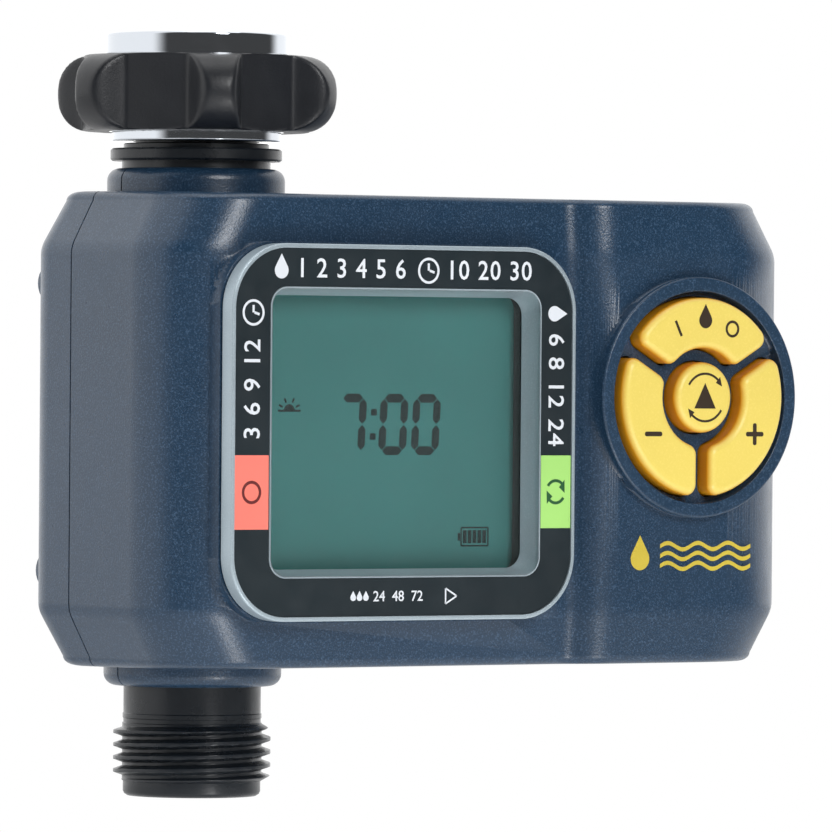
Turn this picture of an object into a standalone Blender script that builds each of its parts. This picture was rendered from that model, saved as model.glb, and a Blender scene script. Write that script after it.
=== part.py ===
"""Single-outlet hose-end water timer.

Frame: +Z up along the water pipe, the display faces -Y, +X is to the reader's right.
The origin is the centre of the sealing face of the tap washer. Lengths below are in
millimetres and angles in degrees; MM turns them into Blender's metres.
"""

from math import asin, cos, pi, radians, sin, tan

import bmesh
import bpy
from mathutils import Matrix, Vector

MM = 0.001
GAP = 0.3

# Case, in plan
LEFT, RIGHT = -25.2, 107.0
FRONT_LOW, FRONT_HIGH, REAR = -32.0, -36.0, 16.0
STEP_FOOT, STEP_HEAD = 56.3, 60.3
RADIUS_FRONT_LEFT, RADIUS_FRONT_RIGHT, RADIUS_REAR = 13.5, 20.0, 9.0
WALL = 2.2

# Case, in height
TOP, BOTTOM = -16.3, -97.2
BAND = 9.6
BAND_SIDE, BAND_FRONT, BAND_REAR = 4.3, 0.6, 1.2
EDGE = 1.5
DRAFT = 0.018

# Pipe collars of the case
TOP_COLLAR_RADIUS, TOP_COLLAR_END = 15.15, -12.3
BOTTOM_COLLAR_RADIUS, BOTTOM_COLLAR_END = 15.25, -100.5

# Water passage
NECK_RADIUS, OUTLET_RADIUS, BORE_RADIUS = 12.7, 11.75, 8.5
OUTLET_END = -119.3
THREAD_MAJOR, THREAD_MINOR, THREAD_PITCH = 13.45, 12.05, 2.209
THREAD_TOP, THREAD_TURNS = -107.5, 4
VALVE_Y, VALVE_Z = -4.0, -56.0
FLANGE_SIDE = 34.0
BONNET_SCREW_OFFSET = 13.8

# Swivel nut
NUT_TOP, NUT_BOTTOM = 10.7, -7.7
GRIP_TOP, GRIP_BOTTOM = 7.0, -6.0
LOBES, LOBE_RADIUS, LOBE_TURN = 6, 24.9, -114.5
LOBE_PLAN = (
    (0, LOBE_RADIUS), (6.4, LOBE_RADIUS), (9.5, 22.2), (12.6, 19.7), (21, 19.1), (30, 19.0), (39, 19.1),
    (47.4, 19.7), (50.5, 22.2), (53.6, LOBE_RADIUS),
)
NUT_THREAD_RADIUS = 12.9
WASHER_THICKNESS = 3.1

# Display
FRAME_CENTRE = (18.3, -56.95)
FRAME_SIZE, FRAME_RADIUS = (70.8, 63.3), 11.0
FRAME_FRONT, FRAME_BACK = -37.0, -34.1
WINDOW_CENTRE = (18.6, -56.95)
WINDOW_SIZE, WINDOW_RADIUS = (55.0, 48.1), 3.0
RIM = 0.75

# Keypad
PAD_CENTRE = (79.3, -50.7)
RING_RADIUS, RING_BORE, RING_FRONT = 20.8, 18.3, -38.3
WEB_FRONT, WEB_BACK = -36.3, -34.3
SECTOR_INNER, SECTOR_OUTER, SECTOR_GAP, SECTOR_CORNER = 8.5, 17.2, 1.25, 1.8
CENTRE_BUTTON = 6.1
BUTTON_FRONT, BUTTON_EDGE = -39.7, 1.3
BOARD_FRONT, BOARD_THICKNESS = -25.9, 1.6

# Batteries
BATTERY_RADIUS, BATTERY_LENGTH, BATTERY_Y = 7.25, 50.5, 1.7
BATTERY_X = (70.4, 85.6)
DOOR_X, DOOR_Z = (60.5, 95.5), (-86.0, -28.2)

# Case screws, each an (x, z) place
CASE_SCREWS = ((-18.6, -32), (-18.6, -81), (55.5, -23.5), (55.5, -90), (100.0, -32), (100.0, -81))
BOARD_SCREWS = ((53.0, -34.0), (53.0, -80.0))

ACROSS = {"X": (1, 2, 0), "Y": (0, 2, 1), "Z": (0, 1, 2)}


def clear_scene():
    for obj in list(bpy.data.objects):
        bpy.data.objects.remove(obj, do_unlink=True)


def material(name, colour, roughness, metallic=0.0):
    made = bpy.data.materials.new(name)
    made.use_nodes = True
    shader = made.node_tree.nodes["Principled BSDF"]
    shader.inputs["Base Color"].default_value = (*colour, 1.0)
    shader.inputs["Roughness"].default_value = roughness
    shader.inputs["Metallic"].default_value = metallic
    made.diffuse_color = (*colour, 1.0)
    return made


def spot(a, b, along, axis):
    """A point in metres from its two places across an axis and its place along it."""
    point = Vector((0, 0, 0))
    for index, value in zip(ACROSS[axis], (a, b, along)):
        point[index] = value * MM
    return point


def object_from(name, bm, finish=None, sharp=35):
    bmesh.ops.remove_doubles(bm, verts=bm.verts, dist=1e-6)
    bmesh.ops.recalc_face_normals(bm, faces=bm.faces)
    mesh = bpy.data.meshes.new(name)
    bm.to_mesh(mesh)
    bm.free()
    mesh.shade_smooth()
    mesh.set_sharp_from_angle(angle=radians(sharp))
    obj = bpy.data.objects.new(name, mesh)
    bpy.context.scene.collection.objects.link(obj)
    if finish:
        mesh.materials.append(finish)
    return obj


def loft(name, rings, finish=None, closed=False):
    """A skin over rings of equally many points, capped at both ends or closed on itself."""
    bm = bmesh.new()
    loops = [[bm.verts.new(point) for point in ring] for ring in rings]
    count = len(loops[0])
    pairs = list(zip(loops, loops[1:]))
    if closed:
        pairs.append((loops[-1], loops[0]))
    for low, high in pairs:
        for k in range(count):
            bm.faces.new((low[k], low[(k + 1) % count], high[(k + 1) % count], high[k]))
    if not closed:
        bm.faces.new(loops[0])
        bm.faces.new(loops[-1])
    return object_from(name, bm, finish)


def turned(name, profile, finish=None, axis="Z", centre=(0, 0), steps=40, start=0.0):
    """A profile of (radius, place along the axis) spun round the axis from a start angle.

    A profile that never meets the axis is closed from its last point to its first.
    """
    bm = bmesh.new()
    c, s = cos(start), sin(start)
    verts = [bm.verts.new(spot(centre[0] + r * c, centre[1] + r * s, h, axis)) for r, h in profile]
    edges = [bm.edges.new(pair) for pair in zip(verts, verts[1:])]
    if profile[0][0] > 0:
        edges.append(bm.edges.new((verts[-1], verts[0])))
    direction = spot(0, 0, 1, axis).normalized()
    middle = spot(centre[0], centre[1], 0, axis)
    bmesh.ops.spin(bm, geom=verts + edges, cent=middle, axis=direction, angle=2 * pi,
                   steps=steps, use_merge=True)
    return object_from(name, bm, finish)


def rod(name, radius, low, high, finish=None, axis="Z", centre=(0, 0), steps=24):
    return turned(name, [(0, low), (radius, low), (radius, high), (0, high)], finish, axis, centre, steps)


def drill(name, radius, low, high, axis="Z", centre=(0, 0), steps=24):
    """A round cutter, its facets turned a little so that none lines up with what it cuts."""
    profile = [(0, low), (radius, low), (radius, high), (0, high)]
    return turned(name, profile, None, axis, centre, steps, start=0.07)


def tube(name, outer, inner, low, high, finish=None, axis="Z", centre=(0, 0), steps=32):
    profile = [(inner, low), (outer, low), (outer, high), (inner, high)]
    return turned(name, profile, finish, axis, centre, steps)


def prism(name, outline, low, high, finish=None, axis="Y"):
    return loft(name, [[spot(a, b, h, axis) for a, b in outline] for h in (low, high)], finish)


def framed(name, outer, inner, low, high, finish=None, axis="Y"):
    """A prism with a hole; both outlines have equally many points."""
    rings = [(outer, low), (outer, high), (inner, high), (inner, low)]
    return loft(name, [[spot(a, b, h, axis) for a, b in line] for line, h in rings], finish, closed=True)


def box(name, x, y, z, finish=None):
    return prism(name, [(x[0], z[0]), (x[1], z[0]), (x[1], z[1]), (x[0], z[1])], *y, finish)


def rounded(corners):
    """Points round a polygon whose corners are (a, b, radius, steps)."""
    points = []
    for k, (a, b, radius, steps) in enumerate(corners):
        here = Vector((a, b))
        if radius <= 0:
            points.append(tuple(here))
            continue
        back = (Vector(corners[k - 1][:2]) - here).normalized()
        on = (Vector(corners[(k + 1) % len(corners)][:2]) - here).normalized()
        half = back.angle(on) / 2
        middle = here + (back + on).normalized() * radius / sin(half)
        start = (here + back * radius / tan(half) - middle).normalized()
        end = (here + on * radius / tan(half) - middle).normalized()
        for s in range(steps + 1):
            points.append(tuple(middle + start.slerp(end, s / steps) * radius))
    return points


def round_rect(centre, size, radius, steps=6):
    a, b = centre
    w, h = size[0] / 2, size[1] / 2
    signs = ((-1, -1), (1, -1), (1, 1), (-1, 1))
    return rounded([(a + i * w, b + j * h, radius, steps) for i, j in signs])


def grown(size, by):
    return (size[0] + 2 * by, size[1] + 2 * by)


def combine(target, operation, *others):
    for other in others:
        other.hide_render = True
        other.display_type = "WIRE"
        modifier = target.modifiers.new(f"{operation.lower()} {other.name}", "BOOLEAN")
        modifier.operation = operation
        modifier.solver = "EXACT"
        modifier.object = other


def cut(target, *others):
    combine(target, "DIFFERENCE", *others)


def join(target, *others):
    combine(target, "UNION", *others)


def set_origin(obj, point):
    """Moves an object's origin to a point in millimetres, leaving its shape in place."""
    place = Vector(point) * MM
    obj.data.transform(Matrix.Translation(-place))
    obj.location = place


def case_outline(side, front, rear, wall):
    """Plan of the case, pulled in at its sides, front and rear, and by a wall all round."""
    left, right = LEFT + side + wall, RIGHT - side - wall
    low, high, back = FRONT_LOW + front + wall, FRONT_HIGH + front + wall, REAR - rear - wall
    lean = wall * tan(radians(22.5))
    return rounded([
        (left, back, RADIUS_REAR - wall, 4),
        (left, low, RADIUS_FRONT_LEFT - wall, 7),
        (STEP_FOOT + lean, low, 3.0 + wall, 2),
        (STEP_HEAD + lean, high, 6.0 - wall, 3),
        (right, high, RADIUS_FRONT_RIGHT - wall, 8),
        (right, back, RADIUS_REAR - wall, 4),
    ])


def case_solid(name, wall):
    """The case's full outer shape for wall 0, or the hollow inside a wall of that thickness."""
    edge = max(EDGE - wall, 0.4)
    levels = []
    for turn in (0, 45, 90):
        inset = edge * (1 - sin(radians(turn)))
        levels.append((edge * (1 - cos(radians(turn))), inset, True))
    levels.append((BAND - wall, 0.0, False))
    rings = []
    for sign, start in ((1, BOTTOM + wall), (-1, TOP - wall)):
        half = []
        for rise, inset, banded in levels:
            if banded:
                plan = case_outline(BAND_SIDE + inset, BAND_FRONT + inset, BAND_REAR + inset, wall)
            else:
                plan = case_outline(0, 0, 0, wall)
            lift = DRAFT if banded else 0
            half.append([spot(x, y, start + sign * (rise + lift * abs(y)), "Z") for x, y in plan])
        rings += half if sign > 0 else half[::-1]
    return loft(name, rings)


def collar_profile(radius, base, end):
    step = 1 if end > base else -1
    turns = [radians(t) for t in (0, 45, 90)]
    arc = [(radius - 1.5 * (1 - cos(t)), end - step * 1.5 * (1 - sin(t))) for t in turns]
    return [(8.0, base), (radius, base), *arc, (8.0, end)]


def sector(direction, grow=0.0):
    """Outline of an outer button, widened all round by grow, its middle towards direction."""
    inner, outer, gap = SECTOR_INNER - grow, SECTOR_OUTER + grow, SECTOR_GAP - grow
    corner = max(SECTOR_CORNER + 0.5 * grow, 0.6)
    far = radians(60) - asin((gap + corner) / (outer - corner))
    near = radians(60) - asin((gap + corner) / (inner + corner))
    half = [(outer * cos(far * k / 5), outer * sin(far * k / 5)) for k in range(1, 5)]
    for place, angle, start, end in (
        (outer - corner, far, far, radians(150)),
        (inner + corner, near, radians(150), near + pi),
    ):
        for k in range(4):
            t = start + (end - start) * k / 3
            half.append((place * cos(angle) + corner * cos(t), place * sin(angle) + corner * sin(t)))
    half += [(inner * cos(near * k / 3), inner * sin(near * k / 3)) for k in (2, 1)]
    plan = [(outer, 0)] + half + [(inner, 0)] + [(u, -v) for u, v in reversed(half)]
    c, s = cos(radians(direction)), sin(radians(direction))
    return [(PAD_CENTRE[0] + u * c - v * s, PAD_CENTRE[1] + u * s + v * c) for u, v in plan]


def disc(radius, steps=32):
    turns = [2 * pi * k / steps for k in range(steps)]
    return [(PAD_CENTRE[0] + radius * cos(t), PAD_CENTRE[1] + radius * sin(t)) for t in turns]


def case_shells(finish):
    """Both halves of the case, which meet at y = 0."""
    top_profile = collar_profile(TOP_COLLAR_RADIUS, -19.0, TOP_COLLAR_END)
    bottom_profile = collar_profile(BOTTOM_COLLAR_RADIUS, -94.5, BOTTOM_COLLAR_END)
    top_collar = turned("top_collar", top_profile, steps=32)
    bottom_collar = turned("bottom_collar", bottom_profile, steps=32)
    hollow = case_solid("case_hollow", WALL)
    top_bore = drill("top_bore", NECK_RADIUS + GAP, -30, -5, steps=26)
    bottom_bore = drill("bottom_bore", OUTLET_RADIUS + GAP, -110, -85, steps=26)
    front = case_solid("front_shell", 0.0)
    rear = case_solid("rear_shell", 0.0)
    for shell in (front, rear):
        shell.data.materials.append(finish)
        join(shell, top_collar, bottom_collar)
        cut(shell, hollow)
    shape_front(front)
    shape_rear(rear)
    for shell in (front, rear):
        cut(shell, top_bore, bottom_bore)
    cut(front, box("behind_parting", (-60, 140), (-GAP / 2, 60), (-140, 20)))
    cut(rear, box("before_parting", (-60, 140), (-60, GAP / 2), (-140, 20)))


def shape_front(front):
    """Display bed and well, keypad ring and webs, and bosses for the screws."""
    bed_line = round_rect(FRAME_CENTRE, grown(FRAME_SIZE, 0.3), FRAME_RADIUS)
    bed = prism("display_bed", bed_line, FRAME_BACK + GAP, -30)
    join(front, bed)
    cut(front, drill("ring_seat", RING_RADIUS - 0.5, -50, -20, "Y", PAD_CENTRE, 30))
    ring = [
        (0, WEB_BACK), (19.3, WEB_BACK), (19.3, -27.5), (RING_RADIUS, -27.5), (RING_RADIUS, RING_FRONT),
        (RING_BORE, RING_FRONT), (RING_BORE, WEB_FRONT), (0, WEB_FRONT),
    ]
    join(front, turned("keypad_ring", ring, axis="Y", centre=PAD_CENTRE, steps=36, start=0.05))
    for k, (x, z) in enumerate(CASE_SCREWS):
        depth = -28.4 if k in (0, 1, 4, 5) else -31.0
        join(front, rod(f"front_boss_{k}", 3.2, depth, 2, axis="Y", centre=(x, z), steps=10))
    for k, place in enumerate(BOARD_SCREWS):
        join(front, rod(f"board_boss_{k}", 2.6, -31.0, BOARD_FRONT - GAP, axis="Y", centre=place, steps=10))
    well = round_rect(WINDOW_CENTRE, grown(WINDOW_SIZE, 1.3), WINDOW_RADIUS + 1.3)
    cut(front, prism("display_well", well, -40, -27))
    for direction in (90, 210, 330):
        cut(front, prism(f"sector_opening_{direction}", sector(direction, GAP), -40, -30))
    cut(front, drill("centre_opening", CENTRE_BUTTON + GAP, -40, -30, "Y", PAD_CENTRE, 28))
    for k, place in enumerate(CASE_SCREWS):
        cut(front, drill(f"front_pilot_{k}", 1.8, -14, 4, "Y", place, 8))
    for k, place in enumerate(BOARD_SCREWS):
        cut(front, drill(f"board_pilot_{k}", 1.3, -29, -20, "Y", place, 8))


def shape_rear(rear):
    """Screw bosses, the frame round the battery opening and the recess of its door."""
    opening_x, opening_z = (62.0, 94.0), (-84.0, -30.0)
    join(rear, box("battery_frame", (58.2, 97.6), (11.0, 14.6), (-88.2, -26.4)))
    for k, place in enumerate(CASE_SCREWS):
        join(rear, rod(f"rear_boss_{k}", 4.1, -2, 14.4, axis="Y", centre=place, steps=12))
    recess_x = (DOOR_X[0] - GAP, DOOR_X[1] + GAP)
    recess_z = (DOOR_Z[0] - GAP, DOOR_Z[1] + GAP)
    centre = (sum(recess_x) / 2, sum(recess_z) / 2)
    size = (recess_x[1] - recess_x[0], recess_z[1] - recess_z[0])
    cut(rear, prism("door_recess", round_rect(centre, size, 3.3, 4), 13.9, 20))
    cut(rear, box("battery_opening", opening_x, (5, 20), opening_z))
    for k, place in enumerate(CASE_SCREWS):
        cut(rear, drill(f"rear_hole_{k}", 1.8, -4, 20, "Y", place, 8))
        cut(rear, drill(f"counterbore_{k}", 3.1, 12.5, 20, "Y", place, 12))


def case_screws(finish):
    for k, place in enumerate(CASE_SCREWS):
        profile = [(0, -12), (1.5, -11), (1.5, 12.8), (2.8, 12.8), (2.8, 14.0), (2.2, 14.6), (0, 14.6)]
        turned(f"case_screw_{k + 1}", profile, finish, "Y", place, 10)


def display(frame_finish, label_finish, window_finish, lcd_finish, rubber):
    outer = round_rect(FRAME_CENTRE, FRAME_SIZE, FRAME_RADIUS, 8)
    front_edge = round_rect(FRAME_CENTRE, grown(FRAME_SIZE, -0.3), FRAME_RADIUS - 0.3, 8)
    rings = [(outer, FRAME_BACK), (outer, FRAME_FRONT + 0.3), (front_edge, FRAME_FRONT)]
    frame = loft("display_frame", [[spot(a, b, h, "Y") for a, b in line] for line, h in rings], frame_finish)
    skirt = round_rect(WINDOW_CENTRE, grown(WINDOW_SIZE, 1.0), WINDOW_RADIUS + 1, 4)
    join(frame, prism("window_skirt", skirt, -34.6, -32.9))
    lip = round_rect(WINDOW_CENTRE, grown(WINDOW_SIZE, 1.0), WINDOW_RADIUS + 1, 8)
    inside_rim = round_rect(FRAME_CENTRE, grown(FRAME_SIZE, -RIM), FRAME_RADIUS - RIM, 8)
    cut(frame, framed("label_recess", inside_rim, lip, -40, -36.2))
    cut(frame, prism("window_opening", round_rect(WINDOW_CENTRE, WINDOW_SIZE, WINDOW_RADIUS, 4), -40, -30))
    label_outer = round_rect(FRAME_CENTRE, grown(FRAME_SIZE, -RIM - GAP), FRAME_RADIUS - RIM - GAP, 8)
    label_inner = round_rect(WINDOW_CENTRE, grown(WINDOW_SIZE, 1.3), WINDOW_RADIUS + 1.3, 8)
    framed("display_label", label_outer, label_inner, -36.9, -36.5, label_finish)
    sheet = round_rect(WINDOW_CENTRE, grown(WINDOW_SIZE, 1.0), WINDOW_RADIUS + 1, 4)
    prism("display_window", sheet, -32.6, -31.6, window_finish)
    prism("lcd_panel", sheet, -31.3, -28.5, lcd_finish)
    box("lcd_connector", (-6, 43), (-28.2, BOARD_FRONT - GAP), (-81.5, -78.5), rubber)


def button(name, outline_at, finish):
    """A push button: hidden flange, straight wall, and a front edge rounded over 1.3 mm."""
    rings = [
        (0.7, -33.2), (0.7, -33.9), (0.0, -33.9), (0.0, BUTTON_FRONT + BUTTON_EDGE),
        (-0.3 * BUTTON_EDGE, BUTTON_FRONT + 0.3 * BUTTON_EDGE), (-BUTTON_EDGE, BUTTON_FRONT),
    ]
    return loft(name, [[spot(a, b, h, "Y") for a, b in outline_at(grow)] for grow, h in rings], finish)


def keypad(yellow, rubber, metal):
    for name, direction in (("button_manual", 90), ("button_minus", 210), ("button_plus", 330)):
        made = button(name, lambda grow, d=direction: sector(d, grow), yellow)
        set_origin(made, (PAD_CENTRE[0], BUTTON_FRONT, PAD_CENTRE[1]))
    centre = button("button_set", lambda grow: disc(CENTRE_BUTTON + grow), yellow)
    set_origin(centre, (PAD_CENTRE[0], BUTTON_FRONT, PAD_CENTRE[1]))
    mat = rod("keypad_mat", 18.6, -31.2, -30.6, rubber, "Y", PAD_CENTRE, 32)
    places = [PAD_CENTRE]
    for direction in (90, 210, 330):
        t = radians(direction)
        places.append((PAD_CENTRE[0] + 13 * cos(t), PAD_CENTRE[1] + 13 * sin(t)))
    for label, (x, z) in zip(("set", "manual", "minus", "plus"), places):
        dome = [(0, -31.7), (2.2, -31.7), (3.2, -30.9), (0, -30.9)]
        join(mat, turned(f"mat_dome_{label}", dome, axis="Y", centre=(x, z), steps=12))
        switch = box(f"switch_{label}", (x - 3, x + 3), (-29.4, BOARD_FRONT - GAP), (z - 3, z + 3), metal)
        join(switch, rod(f"actuator_{label}", 1.7, -30.3, -29, axis="Y", centre=(x, z), steps=12))


def electronics(green, steel):
    back = BOARD_FRONT + BOARD_THICKNESS
    board = prism("main_board", round_rect((43.5, -57.0), (105.0, 57.0), 2.0, 2), BOARD_FRONT, back, green)
    for k, place in enumerate(BOARD_SCREWS):
        cut(board, drill(f"board_hole_{k}", 1.4, -30, -20, "Y", place, 12))
        head = back + GAP
        profile = [(0, -28.5), (1.0, -28.0), (1.0, head), (2.0, head), (2.0, head + 1.2), (0, head + 1.2)]
        turned(f"board_screw_{k + 1}", profile, steel, "Y", place, 12)


def thread_profile():
    """Outside of the hose thread as parallel ridges, from its top end down."""
    points = []
    for k in range(THREAD_TURNS):
        z = THREAD_TOP - k * THREAD_PITCH
        points += [(THREAD_MINOR, z), (THREAD_MAJOR, z - 0.8), (THREAD_MAJOR, z - 1.3)]
    return points


def valve(black, rubber, steel):
    outside = [
        (0, -3.4), (12.2, -3.4), (12.2, -5.3), (10.4, -5.3), (10.4, -8.0), (12.4, -8.0), (12.4, -8.9),
        (14.65, -8.9), (14.65, -11.0), (NECK_RADIUS, -11.0), (NECK_RADIUS, -24.0), (12.0, -24.0),
        (12.0, -88.0), (OUTLET_RADIUS, -88.0), (OUTLET_RADIUS, THREAD_TOP + 0.6),
        *thread_profile(),
        (OUTLET_RADIUS, THREAD_TOP - THREAD_TURNS * THREAD_PITCH),
        (OUTLET_RADIUS, OUTLET_END + 0.6), (OUTLET_RADIUS - 0.6, OUTLET_END), (0, OUTLET_END),
    ]
    body = turned("valve_body", outside, black, steps=30)
    middle = (VALVE_Y, VALVE_Z)
    flange = round_rect(middle, (FLANGE_SIDE, FLANGE_SIDE), 3.2, 3)
    join(body, rod("chamber_wall", 16.4, 1, 12, axis="X", centre=middle, steps=24))
    join(body, prism("body_flange", flange, 9.5, 14.5, axis="X"))
    annulus = tube("chamber_hollow", 14.0, 7.8, 5.0, 16.0, axis="X", centre=middle, steps=22)
    outlet_bore = drill("outlet_bore", BORE_RADIUS, -125, -60.5, steps=24)
    inlet_bore = drill("inlet_bore", BORE_RADIUS, -47.5, 5, steps=24)
    filter_seat = drill("filter_seat", 9.6, -4.8, 5, steps=26)
    seat_bore = drill("seat_bore", 6.0, -3.0, 20.0, "X", middle, 18)
    seat_top = drill("seat_top", 8.5, 13.0, 20.0, "X", middle, 20)
    cut(body, annulus, outlet_bore, inlet_bore, filter_seat, seat_bore, seat_top)
    diaphragm = [
        (0, 13.3), (9.0, 13.3), (9.6, 14.8), (11.2, 16.6), (13.2, 14.8), (16.4, 14.8),
        (16.4, 16.0), (13.0, 16.0), (11.0, 17.6), (9.0, 15.8), (0, 15.8),
    ]
    turned("valve_diaphragm", diaphragm, rubber, "X", middle, 22)
    bonnet = prism("valve_bonnet", flange, 16.3, 19.3, black, axis="X")
    dome = [(0, 18.5), (14.6, 18.5), (13.6, 22.0), (9.0, 23.5), (7.5, 26.5), (0, 26.5)]
    join(bonnet, turned("bonnet_dome", dome, axis="X", centre=middle, steps=24))
    inside = [(0, 16.0), (13.6, 16.0), (12.6, 20.0), (4.9, 21.5), (4.9, 28.0), (0, 28.0)]
    cut(bonnet, turned("bonnet_hollow", inside, axis="X", centre=middle, steps=24, start=0.07))
    for k, (i, j) in enumerate(((-1, -1), (1, -1), (1, 1), (-1, 1))):
        place = (VALVE_Y + i * BONNET_SCREW_OFFSET, VALVE_Z + j * BONNET_SCREW_OFFSET)
        hole = drill(f"bonnet_hole_{k}", 1.7, 5, 25, "X", place, 8)
        cut(body, hole)
        cut(bonnet, hole)
        profile = [(0, 10.0), (1.4, 10.6), (1.4, 19.6), (2.6, 19.6), (2.6, 21.2), (0, 21.2)]
        turned(f"bonnet_screw_{k + 1}", profile, steel, "X", place, 10)


def solenoid(steel, copper):
    middle = (VALVE_Y, VALVE_Z)
    profile = [(0, 46.5), (3.6, 46.5), (3.6, 22.2), (4.5, 22.2), (4.5, 50.0), (0, 50.0)]
    turned("solenoid_tube", profile, steel, "X", middle, 24)
    coil = [
        (4.9, 29.0), (10.0, 29.0), (10.0, 30.4), (9.2, 30.4), (9.2, 45.6), (10.0, 45.6), (10.0, 47.0),
        (4.9, 47.0),
    ]
    turned("solenoid_coil", coil, copper, "X", middle, 20)
    y, z = middle
    frame = box("solenoid_frame", (27.2, 28.6), (y - 9, y + 9), (z - 12.4, z + 9.5), steel)
    join(frame, box("frame_far", (47.4, 48.8), (y - 9, y + 9), (z - 12.4, z + 9.5)))
    join(frame, box("frame_floor", (28.0, 48.0), (y - 9, y + 9), (z - 12.4, z - 10.9)))
    cut(frame, drill("frame_hole", 4.8, 20, 60, "X", middle, 20))
    plunger = [(0, 18.6), (1.2, 18.9), (2.0, 20.4), (3.3, 22.4), (3.3, 38.0), (0, 38.0)]
    made = turned("solenoid_plunger", plunger, steel, "X", middle, 20)
    set_origin(made, (20.0, y, z))
    spring("plunger_spring", Vector((40.5, y, z)), Vector((46.0, y, z)), (2.2, 2.2), 3, 0.35, steel, 8)


def spring(name, start, end, radii, turns, wire, finish, per_turn=12):
    """A round wire wound from start to end, its radius going from the first to the second."""
    along = end - start
    side = Vector((0, 1, 0)) if abs(along.y) < 0.5 * along.length else Vector((0, 0, 1))
    other = along.normalized().cross(side)
    count = turns * per_turn
    curve = bpy.data.curves.new(name, "CURVE")
    curve.dimensions = "3D"
    curve.bevel_depth = wire * MM
    curve.bevel_resolution = 1
    curve.use_fill_caps = True
    line = curve.splines.new("POLY")
    line.points.add(count)
    for k in range(count + 1):
        share = k / count
        radius = radii[0] + (radii[1] - radii[0]) * share
        turn = 2 * pi * turns * share
        point = start + along * share + (side * cos(turn) + other * sin(turn)) * radius
        line.points[k].co = (*(point * MM), 1.0)
    obj = bpy.data.objects.new(name, curve)
    bpy.context.scene.collection.objects.link(obj)
    curve.materials.append(finish)
    return obj


def lead(name, stops, radius, finish):
    """A soft insulated wire along a smooth curve through its stops."""
    dense = []
    for k in range(len(stops) - 1):
        before, a = Vector(stops[max(k - 1, 0)]), Vector(stops[k])
        b, after = Vector(stops[k + 1]), Vector(stops[min(k + 2, len(stops) - 1)])
        for s in range(4):
            t = s / 4
            dense.append(0.5 * (2 * a + (b - before) * t + (2 * before - 5 * a + 4 * b - after) * t * t
                                + (3 * a - before - 3 * b + after) * t ** 3))
    dense.append(Vector(stops[-1]))
    curve = bpy.data.curves.new(name, "CURVE")
    curve.dimensions = "3D"
    curve.bevel_depth = radius * MM
    curve.bevel_resolution = 1
    curve.use_fill_caps = True
    line = curve.splines.new("POLY")
    line.points.add(len(dense) - 1)
    for point, place in zip(line.points, dense):
        point.co = (*(place * MM), 1.0)
    obj = bpy.data.objects.new(name, curve)
    bpy.context.scene.collection.objects.link(obj)
    curve.materials.append(finish)
    return obj


def swivel_nut(chrome, rubber):
    sleeve = [
        (NUT_THREAD_RADIUS, NUT_TOP), (15.2, NUT_TOP), (15.6, NUT_TOP - 0.4), (15.6, GRIP_TOP + GAP),
        (15.0, GRIP_TOP + GAP), (15.0, GRIP_BOTTOM), (14.5, GRIP_BOTTOM), (14.5, NUT_BOTTOM),
        (10.8, NUT_BOTTOM), (10.8, -5.6), (13.3, -5.6), (13.3, 0.6), (NUT_THREAD_RADIUS, 1.2),
    ]
    turned("nut_sleeve", sleeve, chrome, steps=36)
    middle, half = (GRIP_TOP + GRIP_BOTTOM) / 2, (GRIP_TOP - GRIP_BOTTOM) / 2
    arcs = [radians(t) for t in (90, 60, 30, 0, -30, -60, -90)]
    round_off = [(LOBE_RADIUS - half + half * cos(t), middle + half * sin(t)) for t in arcs]
    rings = []
    for lobe in range(LOBES):
        for turn, reach in LOBE_PLAN:
            angle = radians(LOBE_TURN + lobe * 360 / LOBES + turn)
            side = [(min(r, reach), z) for r, z in round_off]
            section = [(15.3, GRIP_TOP), *side, (15.3, GRIP_BOTTOM)]
            rings.append([spot(r * cos(angle), r * sin(angle), z, "Z") for r, z in section])
    loft("nut_grip", rings, rubber, closed=True)


def inlet(rubber, steel):
    tube("inlet_washer", 12.7, 7.95, -WASHER_THICKNESS, 0.0, rubber, steps=32)
    screen = [
        (9.2, -3.5), (9.2, -4.4), (7.6, -4.4), (6.6, -15.0), (5.0, -17.0), (0, -17.0),
        (0, -16.2), (4.6, -16.2), (5.9, -14.6), (6.9, -3.5),
    ]
    made = turned("inlet_filter", [*screen[6:], *screen[:6]], steel, steps=20)
    for k in range(4):
        t = pi * k / 4
        slot = box(f"filter_slot_{k}", (-12, 12), (-0.9, 0.9), (-14.0, -6.5))
        slot.rotation_euler = (0, 0, t)
        cut(made, slot)


def batteries(shell, tray_finish, metal):
    low, high = -87.0, -27.6
    tray = box("battery_tray", (DOOR_X[0], DOOR_X[1]), (-7.5, 10.7), (low, high), tray_finish)
    cut(tray, box("tray_hollow", (DOOR_X[0] + 1.5, DOOR_X[1] - 1.5), (-6.0, 20), (low + 1.5, high - 1.5)))
    for k, (x, up) in enumerate(zip(BATTERY_X, (True, False))):
        nub = -30.1 if up else -84.8
        way = -1 if up else 1
        base = nub + way * BATTERY_LENGTH
        neck = nub + way * 1.3
        profile = [(0, nub), (2.7, nub), (2.7, neck), (BATTERY_RADIUS - 0.5, neck),
                   (BATTERY_RADIUS, neck + way * 0.5), (BATTERY_RADIUS, base), (0, base)]
        turned(f"battery_{k + 1}", profile, shell, "Z", (x, BATTERY_Y), 20)
        far = base + way * (4.2)
        start = Vector((x, BATTERY_Y, base + way * 0.7))
        spring(f"battery_spring_{k + 1}", start, Vector((x, BATTERY_Y, far)), (3.0, 4.6), 2, 0.35, metal, 9)
    y = (-4.0, 7.4)
    box("contact_link", (64.0, 92.0), y, (-29.7, -29.4), metal)
    box("contact_minus", (65.0, 75.8), y, (-85.4, -85.2), metal)
    box("contact_plus", (80.2, 91.0), y, (-85.4, -85.1), metal)


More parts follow.
